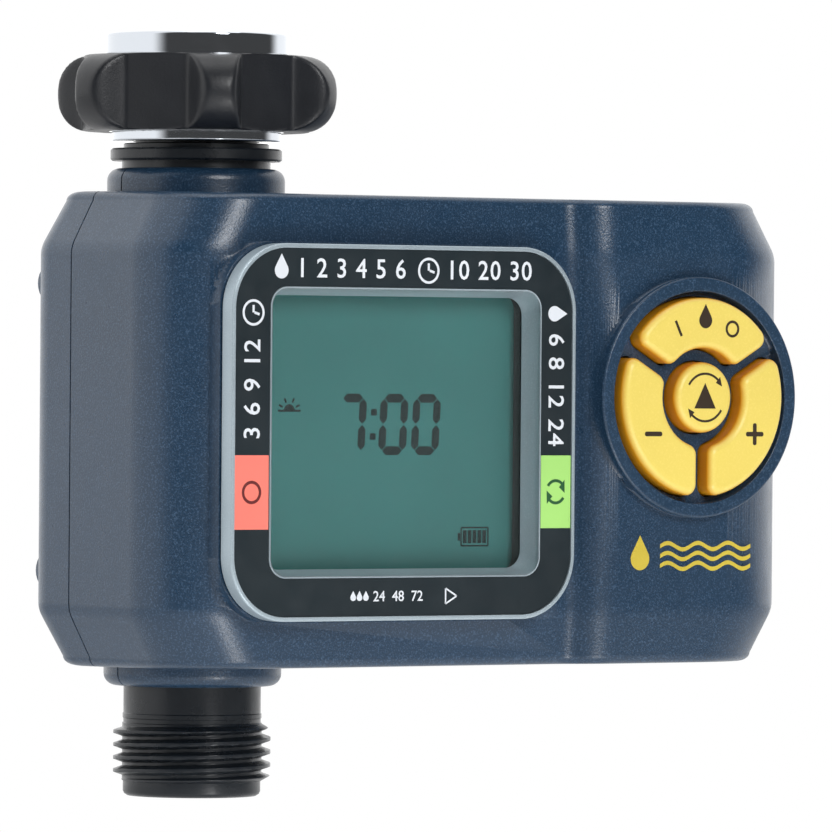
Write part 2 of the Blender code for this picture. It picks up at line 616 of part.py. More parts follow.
def battery_door(finish, rubber):
    centre = (sum(DOOR_X) / 2, sum(DOOR_Z) / 2)
    size = (DOOR_X[1] - DOOR_X[0], DOOR_Z[1] - DOOR_Z[0])
    outline = round_rect(centre, size, 3.0, 4)
    edge = round_rect(centre, grown(size, -0.4), 2.6, 4)
    rings = [(outline, 14.2), (outline, 15.5), (edge, 15.9)]
    door = loft("battery_door", [[spot(a, b, h, "Y") for a, b in line] for line, h in rings], finish)
    hole_centre, hole = (78.0, -57.0), (32.0, 54.0)
    outer = round_rect(hole_centre, grown(hole, -1.8), 2.0, 2)
    inner = round_rect(hole_centre, grown(hole, -3.6), 1.0, 2)
    join(door, framed("door_plug", outer, inner, 11.4, 14.8))
    for k in range(4):
        z = DOOR_Z[1] - 6.0 - 2.6 * k
        cut(door, box(f"grip_groove_{k}", (70, 86), (15.4, 20), (z - 0.6, z + 0.6)))
    set_origin(door, (centre[0], 15.9, centre[1]))
    seal_outer = round_rect(hole_centre, grown(hole, -0.3), 2.6, 2)
    seal_inner = round_rect(hole_centre, grown(hole, -1.5), 2.0, 2)
    seal = framed("battery_seal", seal_outer, seal_inner, 11.8, 13.6, rubber)
    set_origin(seal, (centre[0], 15.9, centre[1]))


def wiring(red, black):
    lead("coil_lead", [(38, -14.4, -56), (38, -17.5, -56), (40, -20.5, -62), (41, -23.8, -66)], 0.7, red)
    lead("battery_lead", [(78, -7.9, -80), (77, -13, -79), (74, -19, -76), (73, -23.8, -74)], 0.7, black)


def build():
    clear_scene()
    navy = material("navy_plastic", (0.045, 0.075, 0.115), 0.42, 0.25)
    black = material("black_plastic", (0.018, 0.02, 0.022), 0.4)
    grip = material("grip_rubber", (0.022, 0.024, 0.027), 0.55)
    chrome = material("chrome", (0.8, 0.81, 0.83), 0.12, 1.0)
    silver = material("silver_plastic", (0.3, 0.38, 0.41), 0.35, 0.3)
    label = material("label_black", (0.025, 0.032, 0.038), 0.35)
    clear = material("clear_window", (0.5, 0.6, 0.58), 0.08)
    lcd = material("lcd_green", (0.065, 0.19, 0.185), 0.3)
    yellow = material("button_yellow", (0.85, 0.6, 0.06), 0.45)
    rubber = material("dark_rubber", (0.03, 0.03, 0.032), 0.7)
    steel = material("zinc_steel", (0.6, 0.6, 0.6), 0.35, 1.0)
    copper = material("copper_wire", (0.7, 0.32, 0.16), 0.4, 1.0)
    green = material("circuit_green", (0.02, 0.16, 0.07), 0.4)
    natural = material("pale_nylon", (0.7, 0.7, 0.66), 0.5)
    cell = material("battery_wrap", (0.1, 0.1, 0.11), 0.3)
    red = material("red_insulation", (0.5, 0.03, 0.02), 0.5)
    case_shells(navy)
    case_screws(steel)
    display(silver, label, clear, lcd, rubber)
    keypad(yellow, rubber, natural)
    electronics(green, steel)
    valve(black, rubber, steel)
    solenoid(steel, copper)
    swivel_nut(chrome, grip)
    inlet(rubber, steel)
    batteries(cell, natural, steel)
    battery_door(navy, rubber)
    wiring(red, rubber)


build()
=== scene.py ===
"""Looks of a single-outlet hose-end water timer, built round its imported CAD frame.

Frame: +Z up the water pipe, the display faces -Y, +X to the reader's right, origin at the
middle of the tap washer's sealing face. Shapes are written in millimetres, and MM turns them
into metres; their places come from the boxes of the CAD nodes that they stand for.
"""
from math import asin, cos, pi, radians, sin, tan

import bmesh
import bpy
from mathutils import Matrix, Vector


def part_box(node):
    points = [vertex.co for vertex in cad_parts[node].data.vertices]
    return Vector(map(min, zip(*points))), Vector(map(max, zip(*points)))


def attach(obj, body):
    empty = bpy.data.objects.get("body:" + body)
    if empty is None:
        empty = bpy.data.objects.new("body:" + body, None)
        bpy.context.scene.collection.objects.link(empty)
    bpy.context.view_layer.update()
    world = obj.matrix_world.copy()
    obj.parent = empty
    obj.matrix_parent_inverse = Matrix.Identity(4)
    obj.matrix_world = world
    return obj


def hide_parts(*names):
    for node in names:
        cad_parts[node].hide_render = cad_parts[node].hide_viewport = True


MM = 0.001
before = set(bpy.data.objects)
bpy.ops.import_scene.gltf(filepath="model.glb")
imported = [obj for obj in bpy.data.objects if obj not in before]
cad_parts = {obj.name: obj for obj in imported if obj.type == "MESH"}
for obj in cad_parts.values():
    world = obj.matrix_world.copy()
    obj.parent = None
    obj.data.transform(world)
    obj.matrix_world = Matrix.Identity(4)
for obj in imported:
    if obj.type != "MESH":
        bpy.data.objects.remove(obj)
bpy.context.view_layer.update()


def box_mm(*nodes):
    """Lowest and highest corner of some CAD nodes together, in millimetres."""
    boxes = [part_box(node) for node in nodes]
    low = Vector([min(b[0][i] for b in boxes) for i in range(3)]) / MM
    high = Vector([max(b[1][i] for b in boxes) for i in range(3)]) / MM
    return low, high


# Places read from the CAD frame
case_low, case_high = box_mm("front_shell", "rear_shell")
LEFT, RIGHT, REAR = case_low.x, case_high.x, case_high.y
TOP_COLLAR_END, BOTTOM_COLLAR_END = case_high.z, case_low.z
bezel_low, bezel_high = box_mm("display_frame")
FRAME_CENTRE = ((bezel_low.x + bezel_high.x) / 2, (bezel_low.z + bezel_high.z) / 2)
FRAME_SIZE = (bezel_high.x - bezel_low.x, bezel_high.z - bezel_low.z)
FRAME_FRONT = bezel_low.y
lcd_low, lcd_high = box_mm("lcd_panel")
WINDOW_CENTRE = ((lcd_low.x + lcd_high.x) / 2, (lcd_low.z + lcd_high.z) / 2)
LCD_MARGIN = 1.0
WINDOW_SIZE = (lcd_high.x - lcd_low.x - 2 * LCD_MARGIN, lcd_high.z - lcd_low.z - 2 * LCD_MARGIN)
LCD_BACK = lcd_high.y
glass_low, glass_high = box_mm("display_window")
set_low, set_high = box_mm("button_set")
PAD_CENTRE = ((set_low.x + set_high.x) / 2, (set_low.z + set_high.z) / 2)
SIGN_DEPTH = 0.03
BUTTON_FRONT, BUTTON_BACK = set_low.y + SIGN_DEPTH, set_high.y
sleeve_low, sleeve_high = box_mm("nut_sleeve")
NUT_TOP, NUT_BOTTOM = sleeve_high.z, sleeve_low.z
grip_low, grip_high = box_mm("nut_grip")
GRIP_TOP, GRIP_BOTTOM = grip_high.z, grip_low.z
OUTLET_END = box_mm("valve_body")[0].z
door_low, door_high = box_mm("battery_door")
DOOR_CENTRE = ((door_low.x + door_high.x) / 2, (door_low.z + door_high.z) / 2)
DOOR_SIZE = (door_high.x - door_low.x, door_high.z - door_low.z)
DOOR_BACK = door_high.y

# Driving sizes shared with the CAD
FRONT_LOW, FRONT_HIGH = -32.0, -36.0
STEP_FOOT, STEP_HEAD, FOOT_BEND, HEAD_BEND = 56.3, 60.3, 4.4, 9.0
RADIUS_FRONT_LEFT, RADIUS_FRONT_RIGHT, RADIUS_REAR = 13.5, 20.0, 9.0
TOP, BOTTOM, WALL = -16.3, -97.2, 2.2
BAND, BAND_SIDE, BAND_FRONT, BAND_REAR = 9.6, 4.3, 0.6, 1.2
EDGE, DRAFT, SOFT = 1.5, 0.018, 1.3
GAP = 0.3
COLLAR_RADIUS, COLLAR_EDGE, COLLAR_BORE = 15.2, 2.1, 8.0
TOP_COLLAR_BASE, BOTTOM_COLLAR_BASE = -19.0, -94.5
NECK_RADIUS, OUTLET_RADIUS, BORE_RADIUS = 12.7, 11.75, 8.5
THREAD_MAJOR, THREAD_MINOR, PITCH = 13.45, 12.05, 2.209
THREAD_TOP, THREAD_TURNS = -107.5, 4
FRAME_RADIUS, FRAME_BACK, FRAME_EDGE, RIM = 11.0, -34.1, 0.3, 0.75
LABEL_FRONT, LABEL_BACK, LABEL_SEAT = -36.75, -36.3, -36.2
WINDOW_RADIUS, WINDOW_TAPER, WINDOW_LIP = 3.0, 1.05, 0.12
WINDOW_FOOT, LCD_FRONT = -32.9, -29.6
RING_RADIUS, RING_BORE, RING_FRONT = 20.8, 18.3, -38.3
RING_EDGE, RING_INNER_EDGE, RING_SKIRT, RING_BACK = 0.45, 0.2, 19.3, -27.5
WEB_FRONT, WEB_BACK = -36.3, -34.3
SECTOR_INNER, SECTOR_OUTER, SECTOR_GAP, SECTOR_CORNER = 8.5, 17.2, 1.25, 1.8
SECTOR_WAYS = {"manual": 90, "minus": 210, "plus": 330}
CENTRE_BUTTON, BUTTON_EDGE, FLANGE, FLANGE_FRONT = 6.1, 1.3, 0.7, -33.9
LOBES, LOBE_RADIUS, LOBE_TURN = 6, 24.9, -114.5
SCALLOP_RADIUS, SCALLOP_MIDDLE, LOBE_FLAT, LOBE_FOOT, LOBE_SOFT = 19.6, 19.0, 4.4, 14.6, 0.35
GRIP_BORE, SLEEVE_FLANGE, SLEEVE_BODY, SLEEVE_SKIRT = 15.15, 15.6, 15.0, 14.5
SLEEVE_MOUTH, SLEEVE_SEAT, SLEEVE_ROOT, SLEEVE_THREAD = 10.8, 13.3, 13.55, 1.1
DOOR_CORNER, DOOR_EDGE, DOOR_FRONT, DOOR_RECESS = 3.0, 0.5, 14.2, 13.9
OPENING_CENTRE, OPENING_SIZE = (78.0, -57.0), (32.0, 54.0)
CASE_SCREWS = ((-18.6, -32), (-18.6, -81), (55.5, -23.5), (55.5, -90), (100.0, -32), (100.0, -81))
ACROSS = {"X": (1, 2, 0), "Y": (0, 2, 1), "Z": (0, 1, 2)}


# ---------------------------------------------------------------- mesh tools

def spot(a, b, along, axis):
    """A point in metres from two places across an axis and one along it, in millimetres."""
    point = Vector((0, 0, 0))
    for index, value in zip(ACROSS[axis], (a, b, along)):
        point[index] = value * MM
    return point


def object_of(name, bm, sharp=32, weighted=False):
    bmesh.ops.remove_doubles(bm, verts=bm.verts, dist=1e-7)
    bmesh.ops.recalc_face_normals(bm, faces=bm.faces)
    mesh = bpy.data.meshes.new(name)
    bm.to_mesh(mesh)
    bm.free()
    obj = bpy.data.objects.new(name, mesh)
    bpy.context.scene.collection.objects.link(obj)
    smooth(obj, sharp, weighted)
    return obj


def smooth(obj, sharp=32, weighted=False):
    obj.data.shade_smooth()
    obj.data.set_sharp_from_angle(angle=radians(sharp))
    if weighted:
        modifier = obj.modifiers.new("weighted", "WEIGHTED_NORMAL")
        modifier.keep_sharp = True
        modifier.weight = 60


def loft(name, rings, closed=False, sharp=32, weighted=False):
    """A skin over rings of equally many points, capped at both ends or closed on itself."""
    bm = bmesh.new()
    loops = [[bm.verts.new(point) for point in ring] for ring in rings]
    count = len(loops[0])
    pairs = list(zip(loops, loops[1:]))
    if closed:
        pairs.append((loops[-1], loops[0]))
    for low, high in pairs:
        for k in range(count):
            bm.faces.new((low[k], low[(k + 1) % count], high[(k + 1) % count], high[k]))
    if not closed:
        bm.faces.new(loops[0])
        bm.faces.new(loops[-1])
    return object_of(name, bm, sharp, weighted)


def turned(name, profile, axis="Z", centre=(0, 0), steps=96, start=0.0):
    """A profile of (radius, place along the axis) spun round the axis."""
    bm = bmesh.new()
    c, s = cos(start), sin(start)
    verts = [bm.verts.new(spot(centre[0] + r * c, centre[1] + r * s, h, axis)) for r, h in profile]
    edges = [bm.edges.new(pair) for pair in zip(verts, verts[1:])]
    if profile[0][0] > 0:
        edges.append(bm.edges.new((verts[-1], verts[0])))
    way = spot(0, 0, 1, axis).normalized()
    bmesh.ops.spin(bm, geom=verts + edges, cent=spot(*centre, 0, axis), axis=way,
                   angle=2 * pi, steps=steps, use_merge=True)
    return object_of(name, bm)


def helical(name, rows, steps=120, sharp=50):
    """A closed ring round the Z axis from rows of (height, radius or a function of the angle)."""
    rings = []
    for z, radius in rows:
        ring = []
        for k in range(steps):
            t = 2 * pi * k / steps
            r = radius(t) if callable(radius) else radius
            ring.append(spot(r * cos(t), r * sin(t), z, "Z"))
        rings.append(ring)
    return loft(name, rings, True, sharp)


def prism(name, outline, low, high, axis="Y"):
    return loft(name, [[spot(a, b, h, axis) for a, b in outline] for h in (low, high)])


def stacked(name, rings, closed=False, sharp=32, weighted=False):
    """A skin over (outline, place along Y) pairs whose outlines have equal counts."""
    return loft(name, [[spot(a, b, h, "Y") for a, b in line] for line, h in rings], closed, sharp, weighted)


def box(name, x, y, z):
    return prism(name, [(x[0], z[0]), (x[1], z[0]), (x[1], z[1]), (x[0], z[1])], *y)


def rounded(corners):
    """Points round a polygon whose corners are (a, b, radius, steps)."""
    points = []
    for k, (a, b, radius, steps) in enumerate(corners):
        here = Vector((a, b))
        if radius <= 0:
            points.append(tuple(here))
            continue
        back = (Vector(corners[k - 1][:2]) - here).normalized()
        on = (Vector(corners[(k + 1) % len(corners)][:2]) - here).normalized()
        half = back.angle(on) / 2
        middle = here + (back + on).normalized() * radius / sin(half)
        start = (here + back * radius / tan(half) - middle).normalized()
        end = (here + on * radius / tan(half) - middle).normalized()
        for s in range(steps + 1):
            points.append(tuple(middle + start.slerp(end, s / steps) * radius))
    return points


def round_rect(centre, size, radius, steps=16):
    a, b = centre
    w, h = size[0] / 2, size[1] / 2
    signs = ((-1, -1), (1, -1), (1, 1), (-1, 1))
    return rounded([(a + i * w, b + j * h, max(radius, 0.05), steps) for i, j in signs])


def grown(size, by):
    return (size[0] + 2 * by, size[1] + 2 * by)


def around(middle, size):
    return (middle - size / 2, middle + size / 2)


def carved(target, joins=(), cuts=(), sharp=32):
    """Joins solids to a target and cuts others from it, leaving one plain mesh."""
    for operation, others in (("UNION", joins), ("DIFFERENCE", cuts)):
        for other in others:
            modifier = target.modifiers.new("carve", "BOOLEAN")
            modifier.operation = operation
            modifier.solver = "EXACT"
            modifier.object = other
    bpy.context.view_layer.update()
    depsgraph = bpy.context.evaluated_depsgraph_get()
    mesh = bpy.data.meshes.new_from_object(target.evaluated_get(depsgraph))
    target.modifiers.clear()
    target.data = mesh
    for other in (*joins, *cuts):
        if other.name in bpy.data.objects and other.users_collection:
            bpy.data.objects.remove(other, do_unlink=True)
    smooth(target, sharp, True)
    return target


def merged(name, parts):
    """One object from several thin parts, which are used up."""
    bm = bmesh.new()
    for part in parts:
        bm.from_mesh(part.data)
        bpy.data.objects.remove(part, do_unlink=True)
    return object_of(name, bm)


def arc(radius, steps=8):
    """A quarter turn that rounds an edge: pairs (pull-in, rise) from the wall to the face."""
    turns = [pi / 2 * k / steps for k in range(steps + 1)]
    return [(radius * (1 - cos(t)), radius * sin(t)) for t in turns]


# ---------------------------------------------------------------- materials

def wire(tree, a, out, b, into):
    tree.links.new(a.outputs[out], b.inputs[into])


def noise(tree, coords, scale, detail=2.0, rough=0.5):
    node = tree.nodes.new("ShaderNodeTexNoise")
    node.inputs["Scale"].default_value = scale
    node.inputs["Detail"].default_value = detail
    node.inputs["Roughness"].default_value = rough
    wire(tree, coords, "Object", node, "Vector")
    return node


def ramp(tree, source, out, low, high, to_low=0.0, to_high=1.0):
    node = tree.nodes.new("ShaderNodeMapRange")
    for key, value in (("From Min", low), ("From Max", high), ("To Min", to_low), ("To Max", to_high)):
        node.inputs[key].default_value = value
    wire(tree, source, out, node, "Value")
    return node


def blend(tree, factor, first, second):
    """Mixes two colours, or a socket and a colour, by a value from 0 to 1."""
    node = tree.nodes.new("ShaderNodeMix")
    node.data_type = "RGBA"
    wire(tree, factor, 0, node, 0)
    for index, value in ((6, first), (7, second)):
        if isinstance(value, tuple):
            node.inputs[index].default_value = (*value, 1.0)
        else:
            tree.links.new(value, node.inputs[index])
    return node


def scaled(colour, by):
    return tuple(min(1.0, c * by) for c in colour)


def finish(name, colour, roughness, metallic=0.0, grain=(1500, 0.00001), mottle=0.10, spread=0.05,
           specks=None, scuffs=0.0, edge=0.0, ior=1.5, alpha=1.0, along=None, side_shade=None):
    """A moulded, rubber or metal surface: mottled colour, grain, specks, scuffs and soft edges.

    grain is (cells per metre, height in metres); specks is (colour, cells per metre, share);
    along stretches the grain, as brushing and turning marks do; edge is the radius in millimetres
    of the soft edges; the last argument is (colour, from, to): painted shade on the sides, the
    colour reached between two places along Y.
    """
    broad_cells, rough_cells, scuff_cells, scuff_light = 55, 240, 90, 1.7
    made = bpy.data.materials.new(name)
    made.use_nodes = True
    tree = made.node_tree
    shader = tree.nodes["Principled BSDF"]
    coords = tree.nodes.new("ShaderNodeTexCoord")
    shader.inputs["Metallic"].default_value = metallic
    shader.inputs["IOR"].default_value = ior
    shader.inputs["Alpha"].default_value = alpha
    broad = noise(tree, coords, broad_cells, 3)
    shade = ramp(tree, broad, "Fac", 0.3, 0.7)
    base = blend(tree, shade, scaled(colour, 1 - mottle), scaled(colour, 1 + mottle))
    fine = noise(tree, coords, grain[0], 2, 0.6)
    if along:
        stretch = tree.nodes.new("ShaderNodeMapping")
        stretch.inputs["Scale"].default_value = along
        wire(tree, coords, "Object", stretch, "Vector")
        tree.links.new(stretch.outputs[0], fine.inputs["Vector"])
    top = base.outputs[2]
    if specks:
        dots = noise(tree, coords, specks[1], 1)
        share = ramp(tree, dots, "Fac", 0.5, 0.72, 0.0, specks[2])
        top = blend(tree, share, top, specks[0]).outputs[2]
    # Painted shade: the colour turns to a deeper, darker one between two places along Y, standing in for the
    # shade on the sides.
    if side_shade:
        split = tree.nodes.new("ShaderNodeSeparateXYZ")
        wire(tree, coords, "Object", split, "Vector")
        share = ramp(tree, split, "Y", side_shade[1], side_shade[2])
        top = blend(tree, share, top, side_shade[0]).outputs[2]
    wear = noise(tree, coords, rough_cells, 4)
    rough_out = ramp(tree, wear, "Fac", 0.3, 0.7, roughness - spread, roughness + spread).outputs[0]
    if scuffs:
        lines = noise(tree, coords, scuff_cells, 6, 0.75)
        share = ramp(tree, lines, "Fac", 0.60, 0.70, 0.0, scuffs)
        top = blend(tree, share, top, scaled(colour, scuff_light)).outputs[2]
        extra = tree.nodes.new("ShaderNodeMath")
        extra.operation = "MULTIPLY_ADD"
        wire(tree, share, 0, extra, 0)
        extra.inputs[1].default_value = 0.25
        tree.links.new(rough_out, extra.inputs[2])
        rough_out = extra.outputs[0]
    tree.links.new(top, shader.inputs["Base Color"])
    tree.links.new(rough_out, shader.inputs["Roughness"])
    bump = tree.nodes.new("ShaderNodeBump")
    bump.inputs["Strength"].default_value = 1.0
    bump.inputs["Distance"].default_value = grain[1]
    wire(tree, fine, "Fac", bump, "Height")
    if edge:
        soft = tree.nodes.new("ShaderNodeBevel")
        soft.samples = 4
        soft.inputs["Radius"].default_value = edge * MM
        wire(tree, soft, "Normal", bump, "Normal")
    wire(tree, bump, "Normal", shader, "Normal")
    return made


def ink(name, colour, roughness, mottle):
    return finish(name, colour, roughness, grain=(3500, 0.000006), mottle=mottle)


navy = finish("navy_plastic", (0.010, 0.034, 0.071), 0.30, grain=(2900, 0.00004), mottle=0.05, spread=0.03,
              specks=((0.07, 0.13, 0.22), 3300, 0.5), scuffs=0.06, edge=0.18, ior=1.52)
black = finish("black_plastic", (0.009, 0.012, 0.016), 0.3, grain=(1600, 0.00002), mottle=0.12, scuffs=0.12,
               edge=0.12, ior=1.42)
grip_rubber = finish("grip_rubber", (0.011, 0.0125, 0.016), 0.38, grain=(2400, 0.00003), mottle=0.15,
                     scuffs=0.15, ior=1.42)
chrome = finish("chrome", (0.56, 0.59, 0.63), 0.08, 1.0, grain=(700, 0.000004), mottle=0.03, spread=0.03,
                along=(1, 1, 6), scuffs=0.06)
silver = finish("silver_paint", (0.38, 0.46, 0.51), 0.34, 0.35, grain=(2600, 0.000012), mottle=0.05,
                specks=((0.58, 0.66, 0.70), 5200, 0.35), scuffs=0.06, edge=0.15)
label_black = finish("label_black", (0.010, 0.018, 0.023), 0.34, grain=(3000, 0.000008), mottle=0.12,
                     scuffs=0.12)
print_white = ink("print_white", (0.74, 0.78, 0.83), 0.5, 0.05)
print_coral = ink("print_coral", (0.98, 0.21, 0.16), 0.45, 0.05)
print_green = ink("print_green", (0.38, 0.72, 0.18), 0.45, 0.05)
print_maroon = ink("print_maroon", (0.13, 0.012, 0.012), 0.5, 0.08)
print_forest = ink("print_forest", (0.012, 0.09, 0.025), 0.5, 0.08)
print_brown = ink("print_brown", (0.028, 0.014, 0.004), 0.5, 0.1)
print_gold = finish("print_gold", (0.62, 0.48, 0.05), 0.45, grain=(3000, 0.00001), mottle=0.08)
# The keys' sides carry painted shade: from just behind the face backwards they turn a deeper, darker orange.
yellow = finish("button_yellow", (0.82, 0.645, 0.135), 0.34, grain=(2300, 0.000014), mottle=0.03, spread=0.04,
                specks=((0.95, 0.76, 0.24), 2600, 0.25), edge=0.1,
                side_shade=((0.78, 0.33, 0.008), -0.0395, -0.0386))
lcd_green = finish("lcd_green", (0.036, 0.168, 0.158), 0.22, grain=(5000, 0.000004), mottle=0.06,
                   specks=((0.07, 0.21, 0.20), 4200, 0.5))
lcd_dark = finish("lcd_segment", (0.004, 0.014, 0.014), 0.22, grain=(4000, 0.000004), mottle=0.1)
window_clear = finish("window_clear", (0.30, 0.35, 0.35), 0.06, grain=(300, 0.000002), mottle=0.02,
                      spread=0.03, scuffs=0.1, alpha=0.05)
dark_rubber = finish("dark_rubber", (0.02, 0.02, 0.022), 0.62, grain=(1800, 0.00003), mottle=0.15)
steel = finish("zinc_steel", (0.55, 0.56, 0.57), 0.3, 1.0, grain=(1200, 0.00001), mottle=0.08, spread=0.08,
               scuffs=0.15)
copper = finish("copper_wire", (0.66, 0.27, 0.12), 0.32, 1.0, grain=(900, 0.00006), mottle=0.1,
                along=(14, 1, 1))
circuit = finish("circuit_green", (0.012, 0.11, 0.045), 0.35, grain=(900, 0.00002), mottle=0.1,
                 specks=((0.45, 0.36, 0.12), 420, 0.5))
nylon = finish("pale_nylon", (0.62, 0.62, 0.57), 0.45, grain=(1400, 0.00002), mottle=0.05)
wrap = finish("battery_wrap", (0.03, 0.03, 0.035), 0.25, grain=(1200, 0.00001), mottle=0.15, scuffs=0.2)
red_wire = finish("red_insulation", (0.42, 0.02, 0.015), 0.42, grain=(1800, 0.00002), mottle=0.1)

# CAD nodes that are seen as they are, by their finish
CAD_FINISHES = (
    (steel, ("battery_spring_1", "battery_spring_2", "board_screw_1", "board_screw_2", "bonnet_screw_1",
             "bonnet_screw_2", "bonnet_screw_3", "bonnet_screw_4", "contact_link", "contact_minus",
             "contact_plus", "plunger_spring", "solenoid_frame", "solenoid_plunger", "solenoid_tube",
             "inlet_filter")),
    (dark_rubber, ("battery_lead", "battery_seal", "keypad_mat", "lcd_connector", "valve_diaphragm")),
    (nylon, ("battery_tray", "switch_manual", "switch_minus", "switch_plus", "switch_set")),
    (black, ("valve_bonnet",)),
    (copper, ("solenoid_coil",)),
    (circuit, ("main_board",)),
    (wrap, ("battery_1", "battery_2")),
    (red_wire, ("coil_lead",)),
)
for surface, nodes in CAD_FINISHES:
    for node in nodes:
        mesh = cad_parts[node].data
        mesh.materials.clear()
        mesh.materials.append(surface)


def place(obj, surface, slot, body, *nodes):
    """Gives a piece its finish and its body, and hides the CAD nodes it stands for; slot is not used."""
    obj.data.materials.clear()
    obj.data.materials.append(surface)
    if nodes:
        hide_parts(*nodes)
    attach(obj, body)
    return obj


# ---------------------------------------------------------------- case

def case_outline(side, front, rear, wall):
    left, right = LEFT + side + wall, RIGHT - side - wall
    low, high, back = FRONT_LOW + front + wall, FRONT_HIGH + front + wall, REAR - rear - wall
    lean = wall * tan(radians(22.5))
    return rounded([
        (left, back, RADIUS_REAR - wall, 12),
        (left, low, RADIUS_FRONT_LEFT - wall, 36),
        (STEP_FOOT + lean, low, FOOT_BEND + wall, 12),
        (STEP_HEAD + lean, high, HEAD_BEND - wall, 16),
        (right, high, RADIUS_FRONT_RIGHT - wall, 60),
        (right, back, RADIUS_REAR - wall, 12),
    ])


def case_solid(name, wall):
    """Outer shape of the case, or the hollow inside a wall; its corner bands end in a soft bend."""
    edge, steps = max(EDGE - wall, 0.4), 8
    slope = 1 / (BAND - EDGE)
    turns = [pi / 2 * k / steps for k in range(steps + 1)]
    levels = [(edge * (1 - cos(t)), 1.0, edge * (1 - sin(t))) for t in turns]
    for k in range(steps + 1):
        rise = BAND - SOFT + 2 * SOFT * k / steps
        levels.append((rise, slope * (BAND + SOFT - rise) ** 2 / (4 * SOFT), 0.0))
    rings = []
    for sign, start in ((1, BOTTOM + wall), (-1, TOP - wall)):
        half = []
        for rise, share, inset in levels:
            plan = case_outline(BAND_SIDE * share + inset, BAND_FRONT * share + inset,
                                BAND_REAR * share + inset, wall)
            half.append([spot(x, y, start + sign * (rise + DRAFT * share * abs(y)), "Z") for x, y in plan])
        rings += half if sign > 0 else half[::-1]
    return loft(name, rings)


def collar(name, base, end):
    way = 1 if end > base else -1
    turn = [(COLLAR_RADIUS - p, end - way * (COLLAR_EDGE - q)) for p, q in arc(COLLAR_EDGE)]
    return turned(name, [(COLLAR_BORE, base), (COLLAR_RADIUS, base), *turn, (COLLAR_BORE, end)])


def drill(name, radius, low, high, axis="Z", centre=(0, 0), steps=72):
    rod = [(0, low), (radius, low), (radius, high), (0, high)]
    return turned(name, rod, axis, centre, steps, start=0.013)


def sector(direction, grow=0.0, steps=14):
    """Outline of an outer button, widened all round by grow, its middle towards direction."""
    inner, outer, gap = SECTOR_INNER - grow, SECTOR_OUTER + grow, SECTOR_GAP - grow
    corner = max(SECTOR_CORNER + 0.5 * grow, 0.6)
    far = radians(60) - asin((gap + corner) / (outer - corner))
    near = radians(60) - asin((gap + corner) / (inner + corner))
    half = [(outer * cos(far * k / steps), outer * sin(far * k / steps)) for k in range(1, steps)]
    for reach, angle, start, end in (
        (outer - corner, far, far, radians(150)),
        (inner + corner, near, radians(150), near + pi),
    ):
        for k in range(9):
            t = start + (end - start) * k / 8
            half.append((reach * cos(angle) + corner * cos(t), reach * sin(angle) + corner * sin(t)))
    half += [(inner * cos(near * k / 6), inner * sin(near * k / 6)) for k in range(5, 0, -1)]
    plan = [(outer, 0)] + half + [(inner, 0)] + [(u, -v) for u, v in reversed(half)]
    c, s = cos(radians(direction)), sin(radians(direction))
    return [(PAD_CENTRE[0] + u * c - v * s, PAD_CENTRE[1] + u * s + v * c) for u, v in plan]


def circle(radius, steps=72):
    turns = [2 * pi * k / steps for k in range(steps)]
    return [(PAD_CENTRE[0] + radius * cos(t), PAD_CENTRE[1] + radius * sin(t)) for t in turns]


def collars(half):
    return [collar(f"top_collar_{half}", TOP_COLLAR_BASE, TOP_COLLAR_END),
            collar(f"bottom_collar_{half}", BOTTOM_COLLAR_BASE, BOTTOM_COLLAR_END)]


def pipe_bores(half):
    return [drill(f"top_bore_{half}", NECK_RADIUS + GAP, -30, -5),
            drill(f"bottom_bore_{half}", OUTLET_RADIUS + GAP, -110, -85)]


def keypad_ring():
    """The round of the keypad, from its outer lip to the web behind the keys."""
    lip = [(RING_RADIUS - p, RING_FRONT + RING_EDGE - q) for p, q in arc(RING_EDGE, 5)]
    inner_lip = [(RING_BORE + RING_INNER_EDGE - q, RING_FRONT + p) for p, q in arc(RING_INNER_EDGE, 3)]
    ring = [(0, WEB_BACK), (RING_SKIRT, WEB_BACK), (RING_SKIRT, RING_BACK), (RING_RADIUS, RING_BACK),
            *lip, *inner_lip, (RING_BORE, WEB_FRONT), (0, WEB_FRONT)]
    return turned("keypad_ring", ring, "Y", PAD_CENTRE, 144, start=0.011)


